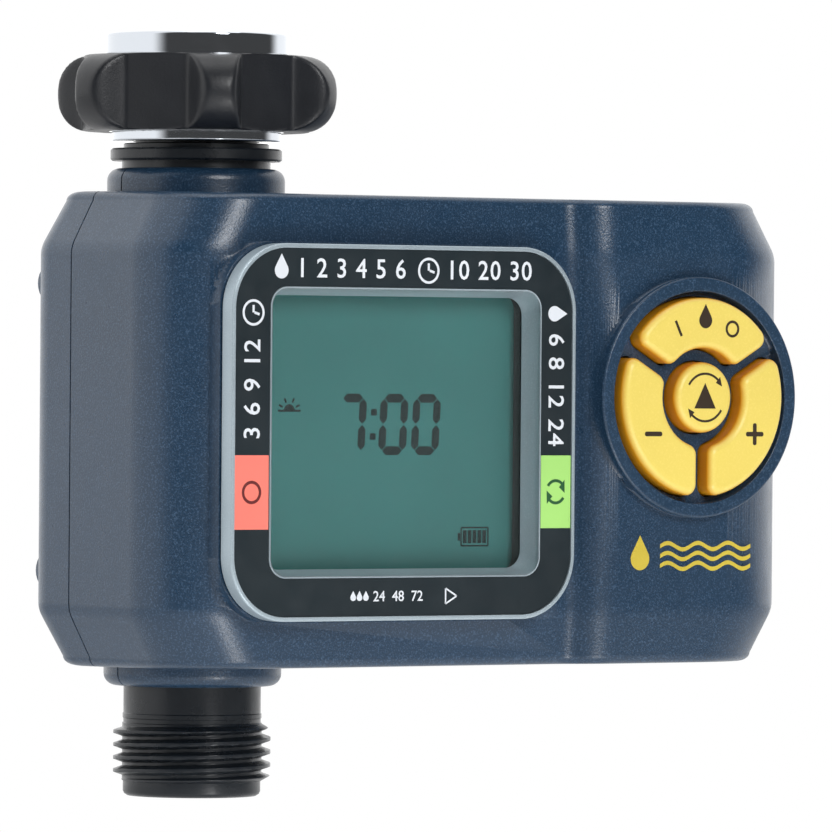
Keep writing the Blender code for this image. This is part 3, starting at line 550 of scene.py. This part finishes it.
def make_case():
    width, height = (-60, 140), (-140, 20)
    boss, hole, counterbore = 4.1, 1.8, 3.1
    bed_back, well_gap = -30.0, 1.3
    front = case_solid("case_front", 0.0)
    rear = case_solid("case_rear", 0.0)
    carved(front, collars("front"), [case_solid("front_hollow", WALL)])
    carved(rear, collars("rear"), [case_solid("rear_hollow", WALL)])

    bed_line = round_rect(FRAME_CENTRE, grown(FRAME_SIZE, GAP), FRAME_RADIUS, 20)
    bed = prism("display_bed", bed_line, FRAME_BACK + GAP, bed_back)
    carved(front, [bed], [drill("ring_seat", RING_RADIUS - 0.5, -50, -20, "Y", PAD_CENTRE)])
    openings = [prism(f"opening_{key}", sector(way, GAP), -40, -30) for key, way in SECTOR_WAYS.items()]
    openings.append(drill("opening_set", CENTRE_BUTTON + GAP, -40, -30, "Y", PAD_CENTRE))
    well = round_rect(WINDOW_CENTRE, grown(WINDOW_SIZE, well_gap), WINDOW_RADIUS + well_gap, 12)
    openings.append(prism("display_well", well, -40, -27))
    behind = box("behind_parting", width, (-GAP / 2, 60), height)
    carved(front, [keypad_ring()], openings + pipe_bores("front") + [behind])

    recess = round_rect(DOOR_CENTRE, grown(DOOR_SIZE, GAP), DOOR_CORNER + GAP, 8)
    opening_x, opening_z = (around(*pair) for pair in zip(OPENING_CENTRE, OPENING_SIZE))
    cuts = [prism("door_recess", recess, DOOR_RECESS, 20),
            box("battery_opening", opening_x, (5, 20), opening_z),
            *pipe_bores("rear"),
            box("before_parting", width, (-60, GAP / 2), height)]
    joins = [box("battery_frame", (58.2, 97.6), (11.0, 14.6), (-88.2, -26.4))]
    for k, screw in enumerate(CASE_SCREWS):
        joins.append(drill(f"rear_boss_{k}", boss, 1, 14.4, "Y", screw, 32))
        cuts.append(drill(f"rear_hole_{k}", hole, -4, 20, "Y", screw, 24))
        cuts.append(drill(f"counterbore_{k}", counterbore, 12.5, 20, "Y", screw, 40))
    carved(rear, joins, cuts)
    place(front, navy, "case", "housing", "front_shell")
    place(rear, navy, "case", "housing", "rear_shell")


make_case()


# ---------------------------------------------------------------- display

def make_display():
    def frame_line(by):
        return round_rect(FRAME_CENTRE, grown(FRAME_SIZE, by), FRAME_RADIUS + by, 24)

    def window_line(by, soften=True, steps=24):
        return round_rect(WINDOW_CENTRE, grown(WINDOW_SIZE, by), WINDOW_RADIUS + by * soften, steps)

    rings = [(frame_line(0.0), FRAME_BACK)]
    rings += [(frame_line(-p), FRAME_FRONT + FRAME_EDGE - q) for p, q in arc(FRAME_EDGE, 5)]
    rings += [(frame_line(-RIM), FRAME_FRONT), (frame_line(-RIM), LABEL_SEAT)]
    rings += [(window_line(0.35), LABEL_SEAT), (window_line(0.35), FRAME_FRONT + WINDOW_LIP)]
    rings += [(window_line(0.02 + q), FRAME_FRONT + WINDOW_LIP + p) for p, q in arc(0.3, 4)]
    skirt = window_line(1.0)
    rings += [(window_line(-WINDOW_TAPER, False), WINDOW_FOOT), (skirt, WINDOW_FOOT), (skirt, FRAME_BACK)]
    bezel = stacked("display_bezel", rings, True, 40)
    place(bezel, silver, "display_frame", "housing", "display_frame")

    outer = round_rect(FRAME_CENTRE, grown(FRAME_SIZE, -RIM - 0.08), FRAME_RADIUS - RIM, 24)
    inner = window_line(0.45)
    rings = [(outer, LABEL_BACK), (outer, LABEL_FRONT), (inner, LABEL_FRONT), (inner, LABEL_BACK)]
    place(stacked("label_face", rings, True), label_black, "display_label", "housing", "display_label")

    glass = prism("window_sheet", window_line(1.0, steps=16), glass_low.y, glass_high.y)
    place(glass, window_clear, "display_window", "housing", "display_window")
    cell, inner = window_line(0.7, steps=16), window_line(-0.2, False, 16)
    near, far = glass_high.y + 0.1, LCD_FRONT + 0.1
    mask = stacked("lcd_gasket", [(cell, near), (inner, near), (inner, far), (cell, far)], True)
    place(mask, dark_rubber, "rubber", "housing")
    lcd = prism("lcd_glass", cell, LCD_FRONT + 0.15, LCD_BACK)
    place(lcd, lcd_green, "display_lcd", "housing", "lcd_panel")


make_display()


# ---------------------------------------------------------------- printed signs

PRINT_LIFT, FIGURE_HEIGHT, SMALL_FIGURES = 0.02, 3.2, 1.75


def plate(parts, outline, face, thick=SIGN_DEPTH):
    parts.append(prism("mark", outline, face, face - thick))


def bar(parts, face, start, end, width):
    a, b = Vector(start), Vector(end)
    side = (b - a).orthogonal().normalized() * width / 2
    plate(parts, [tuple(a + side), tuple(b + side), tuple(b - side), tuple(a - side)], face)


def arc_band(parts, face, centre, radius, width, start, end, steps=24):
    angles = [radians(start + (end - start) * k / steps) for k in range(steps + 1)]
    outer, inner = [[(centre[0] + r * cos(t), centre[1] + r * sin(t)) for t in angles]
                    for r in (radius + width / 2, radius - width / 2)]
    plate(parts, outer + inner[::-1], face)


def ring_mark(parts, face, centre, radius, width):
    arc_band(parts, face, centre, radius, width, 0, 180)
    arc_band(parts, face, centre, radius, width, 180, 360)


def droplet(parts, face, centre, size, lean=0.0):
    """A water drop, its tip up, size from tip to foot."""
    r, shoulder, steps = size * 0.33, radians(28), 24
    points = [(0, size * 0.6)]
    for k in range(steps + 1):
        t = shoulder - (pi + 2 * shoulder) * k / steps
        points.append((r * cos(t), r * sin(t) - size * 0.07))
    c, s = cos(lean), sin(lean)
    plate(parts, [(centre[0] + x * c - z * s, centre[1] + x * s + z * c) for x, z in points], face)


def numerals(parts, face, text, centre, height, turn=0.0, spread=1.0):
    """Figures in the built-in plain face, as a thin plate, their middle at the centre."""
    cap_share, bold = 0.7, 0.012
    curve = bpy.data.curves.new("figures", "FONT")
    curve.body = text
    curve.size = height * MM / cap_share
    curve.offset = bold * height * MM
    curve.extrude = 0.00002
    curve.space_character = spread
    curve.resolution_u = 3
    curve.align_x = "CENTER"
    curve.align_y = "CENTER"
    obj = bpy.data.objects.new("figures", curve)
    bpy.context.scene.collection.objects.link(obj)
    bpy.context.view_layer.update()
    mesh = bpy.data.meshes.new_from_object(obj.evaluated_get(bpy.context.evaluated_depsgraph_get()))
    bpy.data.objects.remove(obj, do_unlink=True)
    upright = Matrix.Rotation(turn, 4, "Y") @ Matrix.Rotation(pi / 2, 4, "X")
    mesh.transform(Matrix.Translation(spot(centre[0], centre[1], face - 0.01, "Y")) @ upright)
    made = bpy.data.objects.new("mark", mesh)
    bpy.context.scene.collection.objects.link(made)
    parts.append(made)


def clock_mark(parts, face, centre, radius, width):
    ring_mark(parts, face, centre, radius, width)
    bar(parts, face, centre, (centre[0], centre[1] + radius * 0.62), width)
    hand = (centre[0] + radius * 0.6, centre[1] - radius * 0.15)
    bar(parts, face, (centre[0] + width / 2, centre[1]), hand, width)


def cycle_mark(parts, face, centre, radius, width):
    """Two arrows chasing each other round a circle."""
    head = 3.6 * width / radius
    for start in (48, 228):
        arc_band(parts, face, centre, radius, width, start, start + 100)
        t = radians(start)
        corners = ((radius - 1.7 * width, t), (radius + 1.7 * width, t), (radius, t - head))
        plate(parts, [(centre[0] + r * cos(a), centre[1] + r * sin(a)) for r, a in corners], face)


def make_label_prints(face):
    """White figures and pictograms round the window, each at its place from the frame's middle."""
    cx, cz = FRAME_CENTRE
    top, bottom = cz + 27.4, cz - 27.6
    left, right = cx - 31.0, cx + 31.2
    white = []
    for text, centre, turn in (("1 2 3 4 5 6", (cx - 11.2, top), 0.0), ("10 20 30", (cx + 17.2, top), 0.0),
                               ("3 6 9 12", (left, cz + 7.2), -pi / 2),
                               ("6 8 12 24", (right, cz + 7.4), pi / 2)):
        numerals(white, face, text, centre, FIGURE_HEIGHT, turn, 1.1)
    numerals(white, face, "24  48  72", (cx - 1.2, bottom), SMALL_FIGURES)
    for centre in ((cx + 4.6, top), (left, cz + 20.0)):
        clock_mark(white, face, centre, 2.0, 0.42)
    droplet(white, face, (cx - 25.4, top), 4.2)
    droplet(white, face, (right, cz + 20.4), 4.0, -pi / 2)
    for dx in (-10.4, -9.1, -7.8):
        droplet(white, face, (cx + dx, bottom), 1.7)
    tip = (cx + 10.9, bottom)
    corners = [(tip[0] - 2.3, tip[1] + 1.3), (tip[0] - 2.3, tip[1] - 1.3), tip]
    for k in range(3):
        bar(white, face, corners[k], corners[(k + 1) % 3], 0.28)
    place(merged("label_signs", white), print_white, "display_label", "housing")


def make_label_patches(face):
    """Coloured patches left and right of the window, and a sign on each."""
    side_inner = WINDOW_SIZE[0] / 2 + 0.5
    side_outer = FRAME_SIZE[0] / 2 - RIM - 0.1
    left, right = [sorted((WINDOW_CENTRE[0] + way * side_inner, FRAME_CENTRE[0] + way * side_outer))
                   for way in (-1, 1)]
    height = (FRAME_CENTRE[1] - 16.2, FRAME_CENTRE[1] - 3.8)
    for patch, width, colour in (("off_patch", left, print_coral), ("auto_patch", right, print_green)):
        plain = box(patch, width, (LABEL_FRONT + 0.05, face), height)
        place(plain, colour, "display_label", "housing")
    off, auto = [], []
    ring_mark(off, face - 0.01, (sum(left) / 2, sum(height) / 2), 1.7, 0.5)
    cycle_mark(auto, face - 0.01, (sum(right) / 2, sum(height) / 2), 1.9, 0.5)
    place(merged("off_sign", off), print_maroon, "display_label", "housing")
    place(merged("auto_sign", auto), print_forest, "display_label", "housing")


make_label_prints(LABEL_FRONT - PRINT_LIFT)
make_label_patches(LABEL_FRONT - PRINT_LIFT)


# ---------------------------------------------------------------- liquid-crystal signs

SEGMENTS = {"7": "abc", "0": "abcdef"}
DIGIT_WIDTH, DIGIT_HEIGHT, DIGIT_STROKE, DIGIT_SLANT = 5.75, 10.4, 1.5, 0.055
SEGMENT_DEPTH = 0.02


def digit(parts, face, char, left, top):
    """A seven-segment figure whose bars end in points."""
    half, s = DIGIT_HEIGHT / 2, DIGIT_STROKE / 2
    x0, x1 = left + s, left + DIGIT_WIDTH - s
    rows = {"a": top - s, "g": top - half, "d": top - DIGIT_HEIGHT + s}
    gap = 0.10
    bars = {key: ((x0, rows[key]), (x1, rows[key])) for key in "agd"}
    bars.update({"f": ((x0, rows["a"]), (x0, rows["g"])), "b": ((x1, rows["a"]), (x1, rows["g"])),
                 "e": ((x0, rows["g"]), (x0, rows["d"])), "c": ((x1, rows["g"]), (x1, rows["d"]))})
    for key in SEGMENTS[char]:
        a, b = Vector(bars[key][0]), Vector(bars[key][1])
        on = (b - a).normalized()
        side = on.orthogonal() * s
        a, b = a + on * gap, b - on * gap
        points = [a, a + on * s + side, b - on * s + side, b, b - on * s - side, a + on * s - side]
        plate(parts, [(p.x + (p.y - top) * DIGIT_SLANT, p.y) for p in points], face, SEGMENT_DEPTH)


def sunrise_mark(parts, face, centre):
    bar(parts, face, (centre[0] - 2.3, centre[1]), (centre[0] + 2.3, centre[1]), 0.36)
    arc_band(parts, face, centre, 0.55, 1.1, 4, 176)
    for ray in (25, 65, 115, 155):
        c, s = cos(radians(ray)), sin(radians(ray))
        near, far = [(centre[0] + r * c, centre[1] + r * s) for r in (1.5, 2.3)]
        bar(parts, face, near, far, 0.34)


def battery_mark(parts, face, low, high):
    corners = [low, (high[0], low[1]), high, (low[0], high[1])]
    for start, end in zip(corners, corners[1:] + corners[:1]):
        bar(parts, face, start, end, 0.26)
    for k in range(5):
        x = low[0] + 0.75 + k * 1.02
        bar(parts, face, (x, low[1] + 0.45), (x, high[1] - 0.45), 0.78)
    bar(parts, face, (low[0] - 0.45, low[1] + 0.9), (low[0] - 0.45, high[1] - 0.9), 0.5)


def make_lcd_signs():
    face = LCD_FRONT + 0.14
    cx, cz = WINDOW_CENTRE
    parts = []
    for char, left in (("7", cx - 8.8), ("0", cx - 0.25), ("0", cx + 6.5)):
        digit(parts, face, char, left, cz + 6.55)
    for dz in (3.4, -0.7):
        dot = round_rect((cx - 1.85 + DIGIT_SLANT * dz, cz + dz), (1.2, 1.1), 0.1, 2)
        plate(parts, dot, face, SEGMENT_DEPTH)
    sunrise_mark(parts, face, (cx - 19.0, cz + 3.6))
    battery_mark(parts, face, (cx + 16.6, cz - 19.3), (cx + 22.2, cz - 16.2))
    place(merged("lcd_segments", parts), lcd_dark, "display_lcd", "housing")


make_lcd_signs()


def make_case_sign():
    """Pictogram under the keypad: a drop and three running waves."""
    face = FRONT_HIGH - PRINT_LIFT
    left, z = PAD_CENTRE[0] - 13.2, PAD_CENTRE[1] - 27.4
    start, length, height, half_stroke = left + 6.5, 19.5, 0.55, 0.36
    waves, steps = 3, 48
    parts = []
    droplet(parts, face, (left + 2.2, z), 6.0)
    for row in (1.7, 0.0, -1.7):
        points = [(start + length * k / steps, z + row + height * sin(2 * pi * waves * k / steps))
                  for k in range(steps + 1)]
        upper, lower = [[(x, y + by) for x, y in points] for by in (half_stroke, -half_stroke)]
        plate(parts, upper + lower[::-1], face)
    place(merged("case_sign", parts), print_gold, "buttons", "housing")


make_case_sign()


# ---------------------------------------------------------------- keypad

def make_button(key, outline_at):
    """A key whose outline can be had at any growth: its flange behind, its rounded face in front."""
    edge = BUTTON_FRONT + BUTTON_EDGE
    rings = [(outline_at(FLANGE), BUTTON_BACK), (outline_at(FLANGE), FLANGE_FRONT),
             (outline_at(0.0), FLANGE_FRONT), (outline_at(0.0), edge)]
    rings += [(outline_at(-p), edge - q) for p, q in arc(BUTTON_EDGE, 10)[1:]]
    made = stacked(f"key_{key}", rings, sharp=40, weighted=True)
    place(made, yellow, "buttons", f"{key}_key", f"button_{key}")


def key_sign(key, parts):
    place(merged(f"sign_{key}", parts), print_brown, "buttons", f"{key}_key")


def plus_outline(centre):
    reach, half = 1.9, 0.4
    quarter = [(reach, -half, 0.35, 4), (reach, half, 0.35, 4), (half, half, 0.1, 2)]
    cross = []
    for _ in range(4):
        cross += quarter
        quarter = [(-b, a, radius, steps) for a, b, radius, steps in quarter]
    return rounded([(centre[0] + a, centre[1] + b, radius, steps) for a, b, radius, steps in cross])


def make_keypad():
    for key, way in SECTOR_WAYS.items():
        make_button(key, lambda grow, way=way: sector(way, grow))
    make_button("set", lambda grow: circle(CENTRE_BUTTON + grow))

    face = BUTTON_FRONT
    x, z = PAD_CENTRE
    manual = []
    droplet(manual, face, (x, z + 13.6), 4.2)
    on, off = [Vector((cos(radians(90 + turn)), sin(radians(90 + turn)))) for turn in (26, -26)]
    middle = Vector(PAD_CENTRE) + on * 13.2
    bar(manual, face, middle - on * 1.45, middle + on * 1.45, 0.5)
    ring_mark(manual, face, Vector(PAD_CENTRE) + off * 13.2, 1.25, 0.46)
    key_sign("manual", manual)
    minus = []
    plate(minus, round_rect((x - 11.0, z - 6.3), (3.7, 0.8), 0.38, 6), face)
    key_sign("minus", minus)
    plus = []
    plate(plus, plus_outline((x + 10.8, z - 6.3)), face)
    key_sign("plus", plus)
    centre = []
    cycle_mark(centre, face, PAD_CENTRE, 4.1, 0.4)
    plate(centre, [(x - 2.3, z - 1.9), (x + 2.3, z - 1.9), (x, z + 2.5)], face)
    key_sign("set", centre)


make_keypad()


# ---------------------------------------------------------------- swivel nut

def blunt(r, reach):
    """The lesser of two radii, with the bend between them rounded."""
    near = max(LOBE_SOFT - abs(r - reach), 0.0) / LOBE_SOFT
    return min(r, reach) - near * near * LOBE_SOFT / 4 * (reach < LOBE_RADIUS - 0.01)


def grip_reach(turn):
    """Outer radius of the grip at a turn in degrees from the middle of a lobe."""
    apart = 360 / LOBES
    aside = min(turn % apart, apart - turn % apart)
    share = min(1.0, max(0.0, (aside - LOBE_FLAT) / (LOBE_FOOT - LOBE_FLAT)))
    hollow = max(0.0, (aside - LOBE_FOOT) / (apart / 2 - LOBE_FOOT))
    foot = SCALLOP_RADIUS - (SCALLOP_RADIUS - SCALLOP_MIDDLE) * (1 - (1 - hollow) ** 2)
    return LOBE_RADIUS - (LOBE_RADIUS - foot) * share * share * (3 - 2 * share)


def ridge(z, t, gain, cut):
    """Height, from 0 to 1, of a helical thread's flat-topped ridge at a height and an angle."""
    phase = ((z - PITCH * t / (2 * pi)) / PITCH) % 1.0
    return min(1.0, max(0.0, gain * (1 - abs(2 * phase - 1)) - cut))


def female_thread(z):
    """Bore of the sleeve at a height, as a function of the angle; the thread fades at both ends."""
    fade = min(1.0, max(0.0, (NUT_TOP - 0.5 - z) / 1.2), max(0.0, (z - 1.0) / 1.2))
    return lambda t: SLEEVE_ROOT - SLEEVE_THREAD * ridge(z, t, 2.2, 0.5) * fade


def make_grip():
    middle, half = (GRIP_TOP + GRIP_BOTTOM) / 2, (GRIP_TOP - GRIP_BOTTOM) / 2
    per_lobe, curve = 60, 24
    arcs = [pi / 2 - pi * i / curve for i in range(curve + 1)]
    round_off = [(LOBE_RADIUS - half + half * cos(t), middle + half * sin(t)) for t in arcs]
    rings = []
    for k in range(LOBES * per_lobe):
        turn = k * 360 / (LOBES * per_lobe)
        reach = grip_reach(turn)
        angle = radians(LOBE_TURN + turn)
        side = [(blunt(r, reach), z) for r, z in round_off]
        section = [(GRIP_BORE, GRIP_TOP), *side, (GRIP_BORE, GRIP_BOTTOM)]
        rings.append([spot(r * cos(angle), r * sin(angle), z, "Z") for r, z in section])
    grip = loft("nut_grip_cover", rings, closed=True, sharp=50)
    place(grip, grip_rubber, "nut_grip", "nut", "nut_grip")


def make_sleeve():
    rows = [(NUT_TOP - 0.3, 13.75), (NUT_TOP, 14.1), (NUT_TOP, SLEEVE_FLANGE - 0.4)]
    rows += [(NUT_TOP - 0.4 + q, SLEEVE_FLANGE - p) for p, q in arc(0.4, 4)[::-1]]
    rows += [(NUT_TOP - 0.46, SLEEVE_FLANGE), (GRIP_TOP + GAP, SLEEVE_FLANGE), (GRIP_TOP + GAP, SLEEVE_BODY),
             (GRIP_BOTTOM, SLEEVE_BODY), (GRIP_BOTTOM, SLEEVE_SKIRT), (NUT_BOTTOM + 0.36, SLEEVE_SKIRT)]
    rows += [(NUT_BOTTOM + 0.3 - q, SLEEVE_SKIRT - p) for p, q in arc(0.3, 4)]
    rows += [(NUT_BOTTOM, 14.14), (NUT_BOTTOM, SLEEVE_MOUTH), (-5.6, SLEEVE_MOUTH), (-5.6, SLEEVE_SEAT),
             (0.8, SLEEVE_SEAT), (0.9, SLEEVE_ROOT)]
    low, length, count = 1.0, NUT_TOP - 1.5, 150
    heights = [low + length * k / count for k in range(count + 1)]
    rows += [(z, female_thread(z)) for z in heights]
    sleeve = helical("nut_sleeve_chrome", rows, sharp=70)
    place(sleeve, chrome, "nut_sleeve", "nut", "nut_sleeve")


def make_washer():
    ring = [(7.95, 0.0), (7.95, -3.1), (12.4, -3.1), (12.7, -2.8), (12.7, -0.3), (12.4, 0.0)]
    place(turned("tap_washer", ring), dark_rubber, "rubber", "housing", "inlet_washer")


make_grip()
make_sleeve()
make_washer()


# ---------------------------------------------------------------- water passage

def male_thread(z):
    """Radius of the outlet at a height, as a function of the angle; the thread fades at both ends."""
    low, high = THREAD_TOP - THREAD_TURNS * PITCH, THREAD_TOP
    root = THREAD_MINOR - 0.12
    fade = min(1.0, max(0.0, (z - low + 0.4) / 0.9), max(0.0, (high + 0.5 - z) / 0.9))
    return lambda t: root + (THREAD_MAJOR - root) * ridge(z, t, 2.1, 0.55) * fade


def make_water_body():
    """The pipe through the case, its rows from the nut's seat down, then up inside the bores."""
    low, high, count = THREAD_TOP - THREAD_TURNS * PITCH - 0.4, THREAD_TOP + 0.6, 104
    heights = [high + (low - high) * k / count for k in range(count + 1)]
    top, rib, flange, inside = -3.4, 12.2, 14.65, 12.0
    socket, groove, bead, end = 9.6, 10.4, OUTLET_RADIUS + 0.12, OUTLET_END
    rows = [(top, socket), (top, inside), (-3.6, rib), (-5.1, rib), (-5.3, inside), (-5.3, groove),
            (-8.0, groove), (-8.0, rib), (-8.15, rib + 0.2), (-8.9, rib + 0.2), (-8.9, flange - 0.3),
            (-9.2, flange), (-10.7, flange), (-11.0, flange - 0.3), (-11.0, NECK_RADIUS),
            (-24.0, NECK_RADIUS), (-24.0, inside), (-88.0, inside), (-88.0, OUTLET_RADIUS),
            (-105.2, OUTLET_RADIUS), (-105.3, bead), (-106.0, bead), (-106.1, OUTLET_RADIUS),
            (THREAD_TOP + 0.7, OUTLET_RADIUS)]
    rows += [(z, male_thread(z)) for z in heights]
    rows += [(low - 0.1, OUTLET_RADIUS), (end + 0.8, OUTLET_RADIUS), (end + 0.35, OUTLET_RADIUS - 0.2),
             (end, OUTLET_RADIUS - 0.7), (end, BORE_RADIUS + 0.4), (end + 0.4, BORE_RADIUS),
             (-61.5, BORE_RADIUS), (-60.5, 7.5), (-60.5, 0.02), (-47.5, 0.02), (-47.5, BORE_RADIUS),
             (-4.8, BORE_RADIUS), (-4.8, socket)]
    body = helical("water_body", rows, 144)

    bonnet_low, bonnet_high = box_mm("valve_bonnet")
    size = (bonnet_high.y - bonnet_low.y, bonnet_high.z - bonnet_low.z)
    centre = ((bonnet_low.y + bonnet_high.y) / 2, (bonnet_low.z + bonnet_high.z) / 2)
    wall = turned("chamber_wall", [(8.6, 1), (16.4, 1), (16.4, 12), (8.6, 12)], "X", centre, 64)
    square = prism("body_flange", round_rect(centre, size, 3.2, 8), 9.5, 14.5, "X")
    hollow = [(7.8, 5.0), (14.0, 5.0), (14.0, 16.0), (7.8, 16.0)]
    cuts = [turned("chamber_hollow", hollow, "X", centre, 64),
            drill("seat_bore", 6.0, -3.0, 20.0, "X", centre, 48),
            drill("seat_top", 8.5, 13.0, 20.0, "X", centre, 48),
            drill("outlet_bore", BORE_RADIUS - 0.02, -118, -60.5)]
    spread = 13.8
    for i, j in ((-1, -1), (1, -1), (1, 1), (-1, 1)):
        hole = (centre[0] + i * spread, centre[1] + j * spread)
        cuts.append(drill(f"flange_hole_{i}_{j}", 1.7, 5, 25, "X", hole, 24))
    carved(body, [wall, square], cuts, 40)
    place(body, black, "water_body", "housing", "valve_body")


make_water_body()


# ---------------------------------------------------------------- back: door and screws

def make_door():
    def outline(by):
        return round_rect(DOOR_CENTRE, grown(DOOR_SIZE, by), DOOR_CORNER + by, 10)

    rings = [(outline(0.0), DOOR_FRONT)]
    rings += [(outline(-p), DOOR_BACK - DOOR_EDGE + q) for p, q in arc(DOOR_EDGE, 5)]
    door = stacked("door_panel", rings)
    outer = round_rect(OPENING_CENTRE, grown(OPENING_SIZE, -1.8), 2.0, 6)
    inner = round_rect(OPENING_CENTRE, grown(OPENING_SIZE, -3.6), 1.0, 6)
    plug = stacked("door_plug", [(outer, 11.4), (outer, 14.8), (inner, 14.8), (inner, 11.4)], True)
    grooves = []
    for k in range(4):
        z = door_high.z - 6.0 - 2.6 * k
        line = round_rect((OPENING_CENTRE[0], z), (16.0, 1.2), 0.59, 6)
        grooves.append(prism(f"groove_{k}", line, 15.35, 20))
    carved(door, [plug], grooves)
    place(door, navy, "case", "door", "battery_door")


def make_screws():
    shank, head, rim, dome, half_slot, slot_reach = 1.5, 2.8, 13.8, 0.8, 0.32, 1.7
    profile = [(0, -12), (shank, -11), (shank, 12.8), (head - 0.2, 12.8), (head, 13.0), (head, rim)]
    profile += [(head * cos(t), rim + dome * sin(t)) for t in (pi / 2 * i / 6 for i in range(1, 6))]
    profile.append((0, rim + dome))
    for k, (x, z) in enumerate(CASE_SCREWS):
        screw = turned(f"screw_{k + 1}", profile, "Y", (x, z), 40)
        wide, thin = 2 * slot_reach, 2 * half_slot
        cross = [box(f"slot_a_{k}", around(x, wide), (13.5, 16), around(z, thin)),
                 box(f"slot_b_{k}", around(x, thin), (13.45, 16), around(z, wide))]
        turn = Matrix.Translation(spot(x, z, 0, "Y")) @ Matrix.Rotation(0.4 + 0.9 * k, 4, "Y")
        back = Matrix.Translation(-spot(x, z, 0, "Y"))
        for slot in cross:
            slot.data.transform(turn @ back)
        carved(screw, [], cross)
        place(screw, steel, "metal", "housing", f"case_screw_{k + 1}")


make_door()
make_screws()


# ---------------------------------------------------------------- floor, light and camera

LIT_POINT = Vector((0.035, -0.03, -0.055))
CAMERA_PLACE = Vector((-0.8150, -1.2300, -0.046))
CAMERA_HEADING, CAMERA_DIP, CAMERA_ROLL = radians(35), radians(0.3187), 0.0078
LENS = 373.4


def make_floor():
    radius, drop, count = 2.8, -0.30, 96
    turns = [2 * pi * k / count for k in range(count)]
    bm = bmesh.new()
    bm.faces.new([bm.verts.new((radius * cos(t), radius * sin(t), drop)) for t in turns])
    floor = object_of("floor", bm)
    paper = finish("floor_paper", (0.86, 0.86, 0.86), 0.8, grain=(300, 0.00005), mottle=0.01)
    floor.data.materials.append(paper)


def make_world():
    """White behind and beside the object, dim in front of it, where the soft boxes stand."""
    front_edge, back_edge, dim, bright = -0.34, 0.06, 0.08, 1.40
    world = bpy.data.worlds.new("studio")
    bpy.context.scene.world = world
    world.use_nodes = True
    tree = world.node_tree
    out = tree.nodes["World Output"]
    coords = tree.nodes.new("ShaderNodeTexCoord")
    split = tree.nodes.new("ShaderNodeSeparateXYZ")
    wire(tree, coords, "Generated", split, "Vector")
    back = ramp(tree, split, "Y", front_edge, back_edge, dim, bright)
    back.interpolation_type = "SMOOTHSTEP"
    room = tree.nodes.new("ShaderNodeBackground")
    seen = tree.nodes.new("ShaderNodeBackground")
    for shade in (room, seen):
        shade.inputs["Color"].default_value = (1.0, 1.0, 1.0, 1.0)
    wire(tree, back, 0, room, "Strength")
    path = tree.nodes.new("ShaderNodeLightPath")
    mix = tree.nodes.new("ShaderNodeMixShader")
    wire(tree, path, "Is Camera Ray", mix, 0)
    tree.links.new(room.outputs[0], mix.inputs[1])
    tree.links.new(seen.outputs[0], mix.inputs[2])
    tree.links.new(mix.outputs[0], out.inputs["Surface"])


def soft_box(name, azimuth, elevation, distance, size, strength):
    """An area light aimed at the object; azimuth 0 stands in front of it and grows to the right."""
    a, e = radians(azimuth), radians(elevation)
    way = Vector((sin(a) * cos(e), -cos(a) * cos(e), sin(e)))
    light = bpy.data.lights.new(name, "AREA")
    light.shape = "RECTANGLE"
    light.size, light.size_y = size
    light.energy = strength * size[0] * size[1] * pi
    obj = bpy.data.objects.new(name, light)
    obj.location = LIT_POINT + way * distance
    obj.rotation_euler = way.to_track_quat("Z", "Y").to_euler()
    bpy.context.scene.collection.objects.link(obj)


def make_camera():
    forward = Vector((sin(CAMERA_HEADING), cos(CAMERA_HEADING), -tan(CAMERA_DIP))).normalized()
    right = forward.cross(Vector((0, 0, 1))).normalized()
    up = right.cross(forward)
    turn = Matrix((right, up, -forward)).transposed() @ Matrix.Rotation(CAMERA_ROLL, 3, "Z")
    data = bpy.data.cameras.new("camera")
    data.sensor_width = 36.0
    data.lens = LENS
    data.clip_start = 0.05
    camera = bpy.data.objects.new("camera", data)
    camera.matrix_world = Matrix.Translation(CAMERA_PLACE) @ turn.to_4x4()
    bpy.context.scene.collection.objects.link(camera)
    bpy.context.scene.camera = camera


make_floor()
make_world()
soft_box("key_high", -2, 25, 1.1, (0.28, 0.38), 17.0)
soft_box("key_low", -6, -29, 0.42, (0.08, 0.12), 13.0)
soft_box("top", 0, 80, 0.9, (0.8, 0.5), 1.6)
make_camera()
bpy.context.scene.view_settings.view_transform = "Standard"
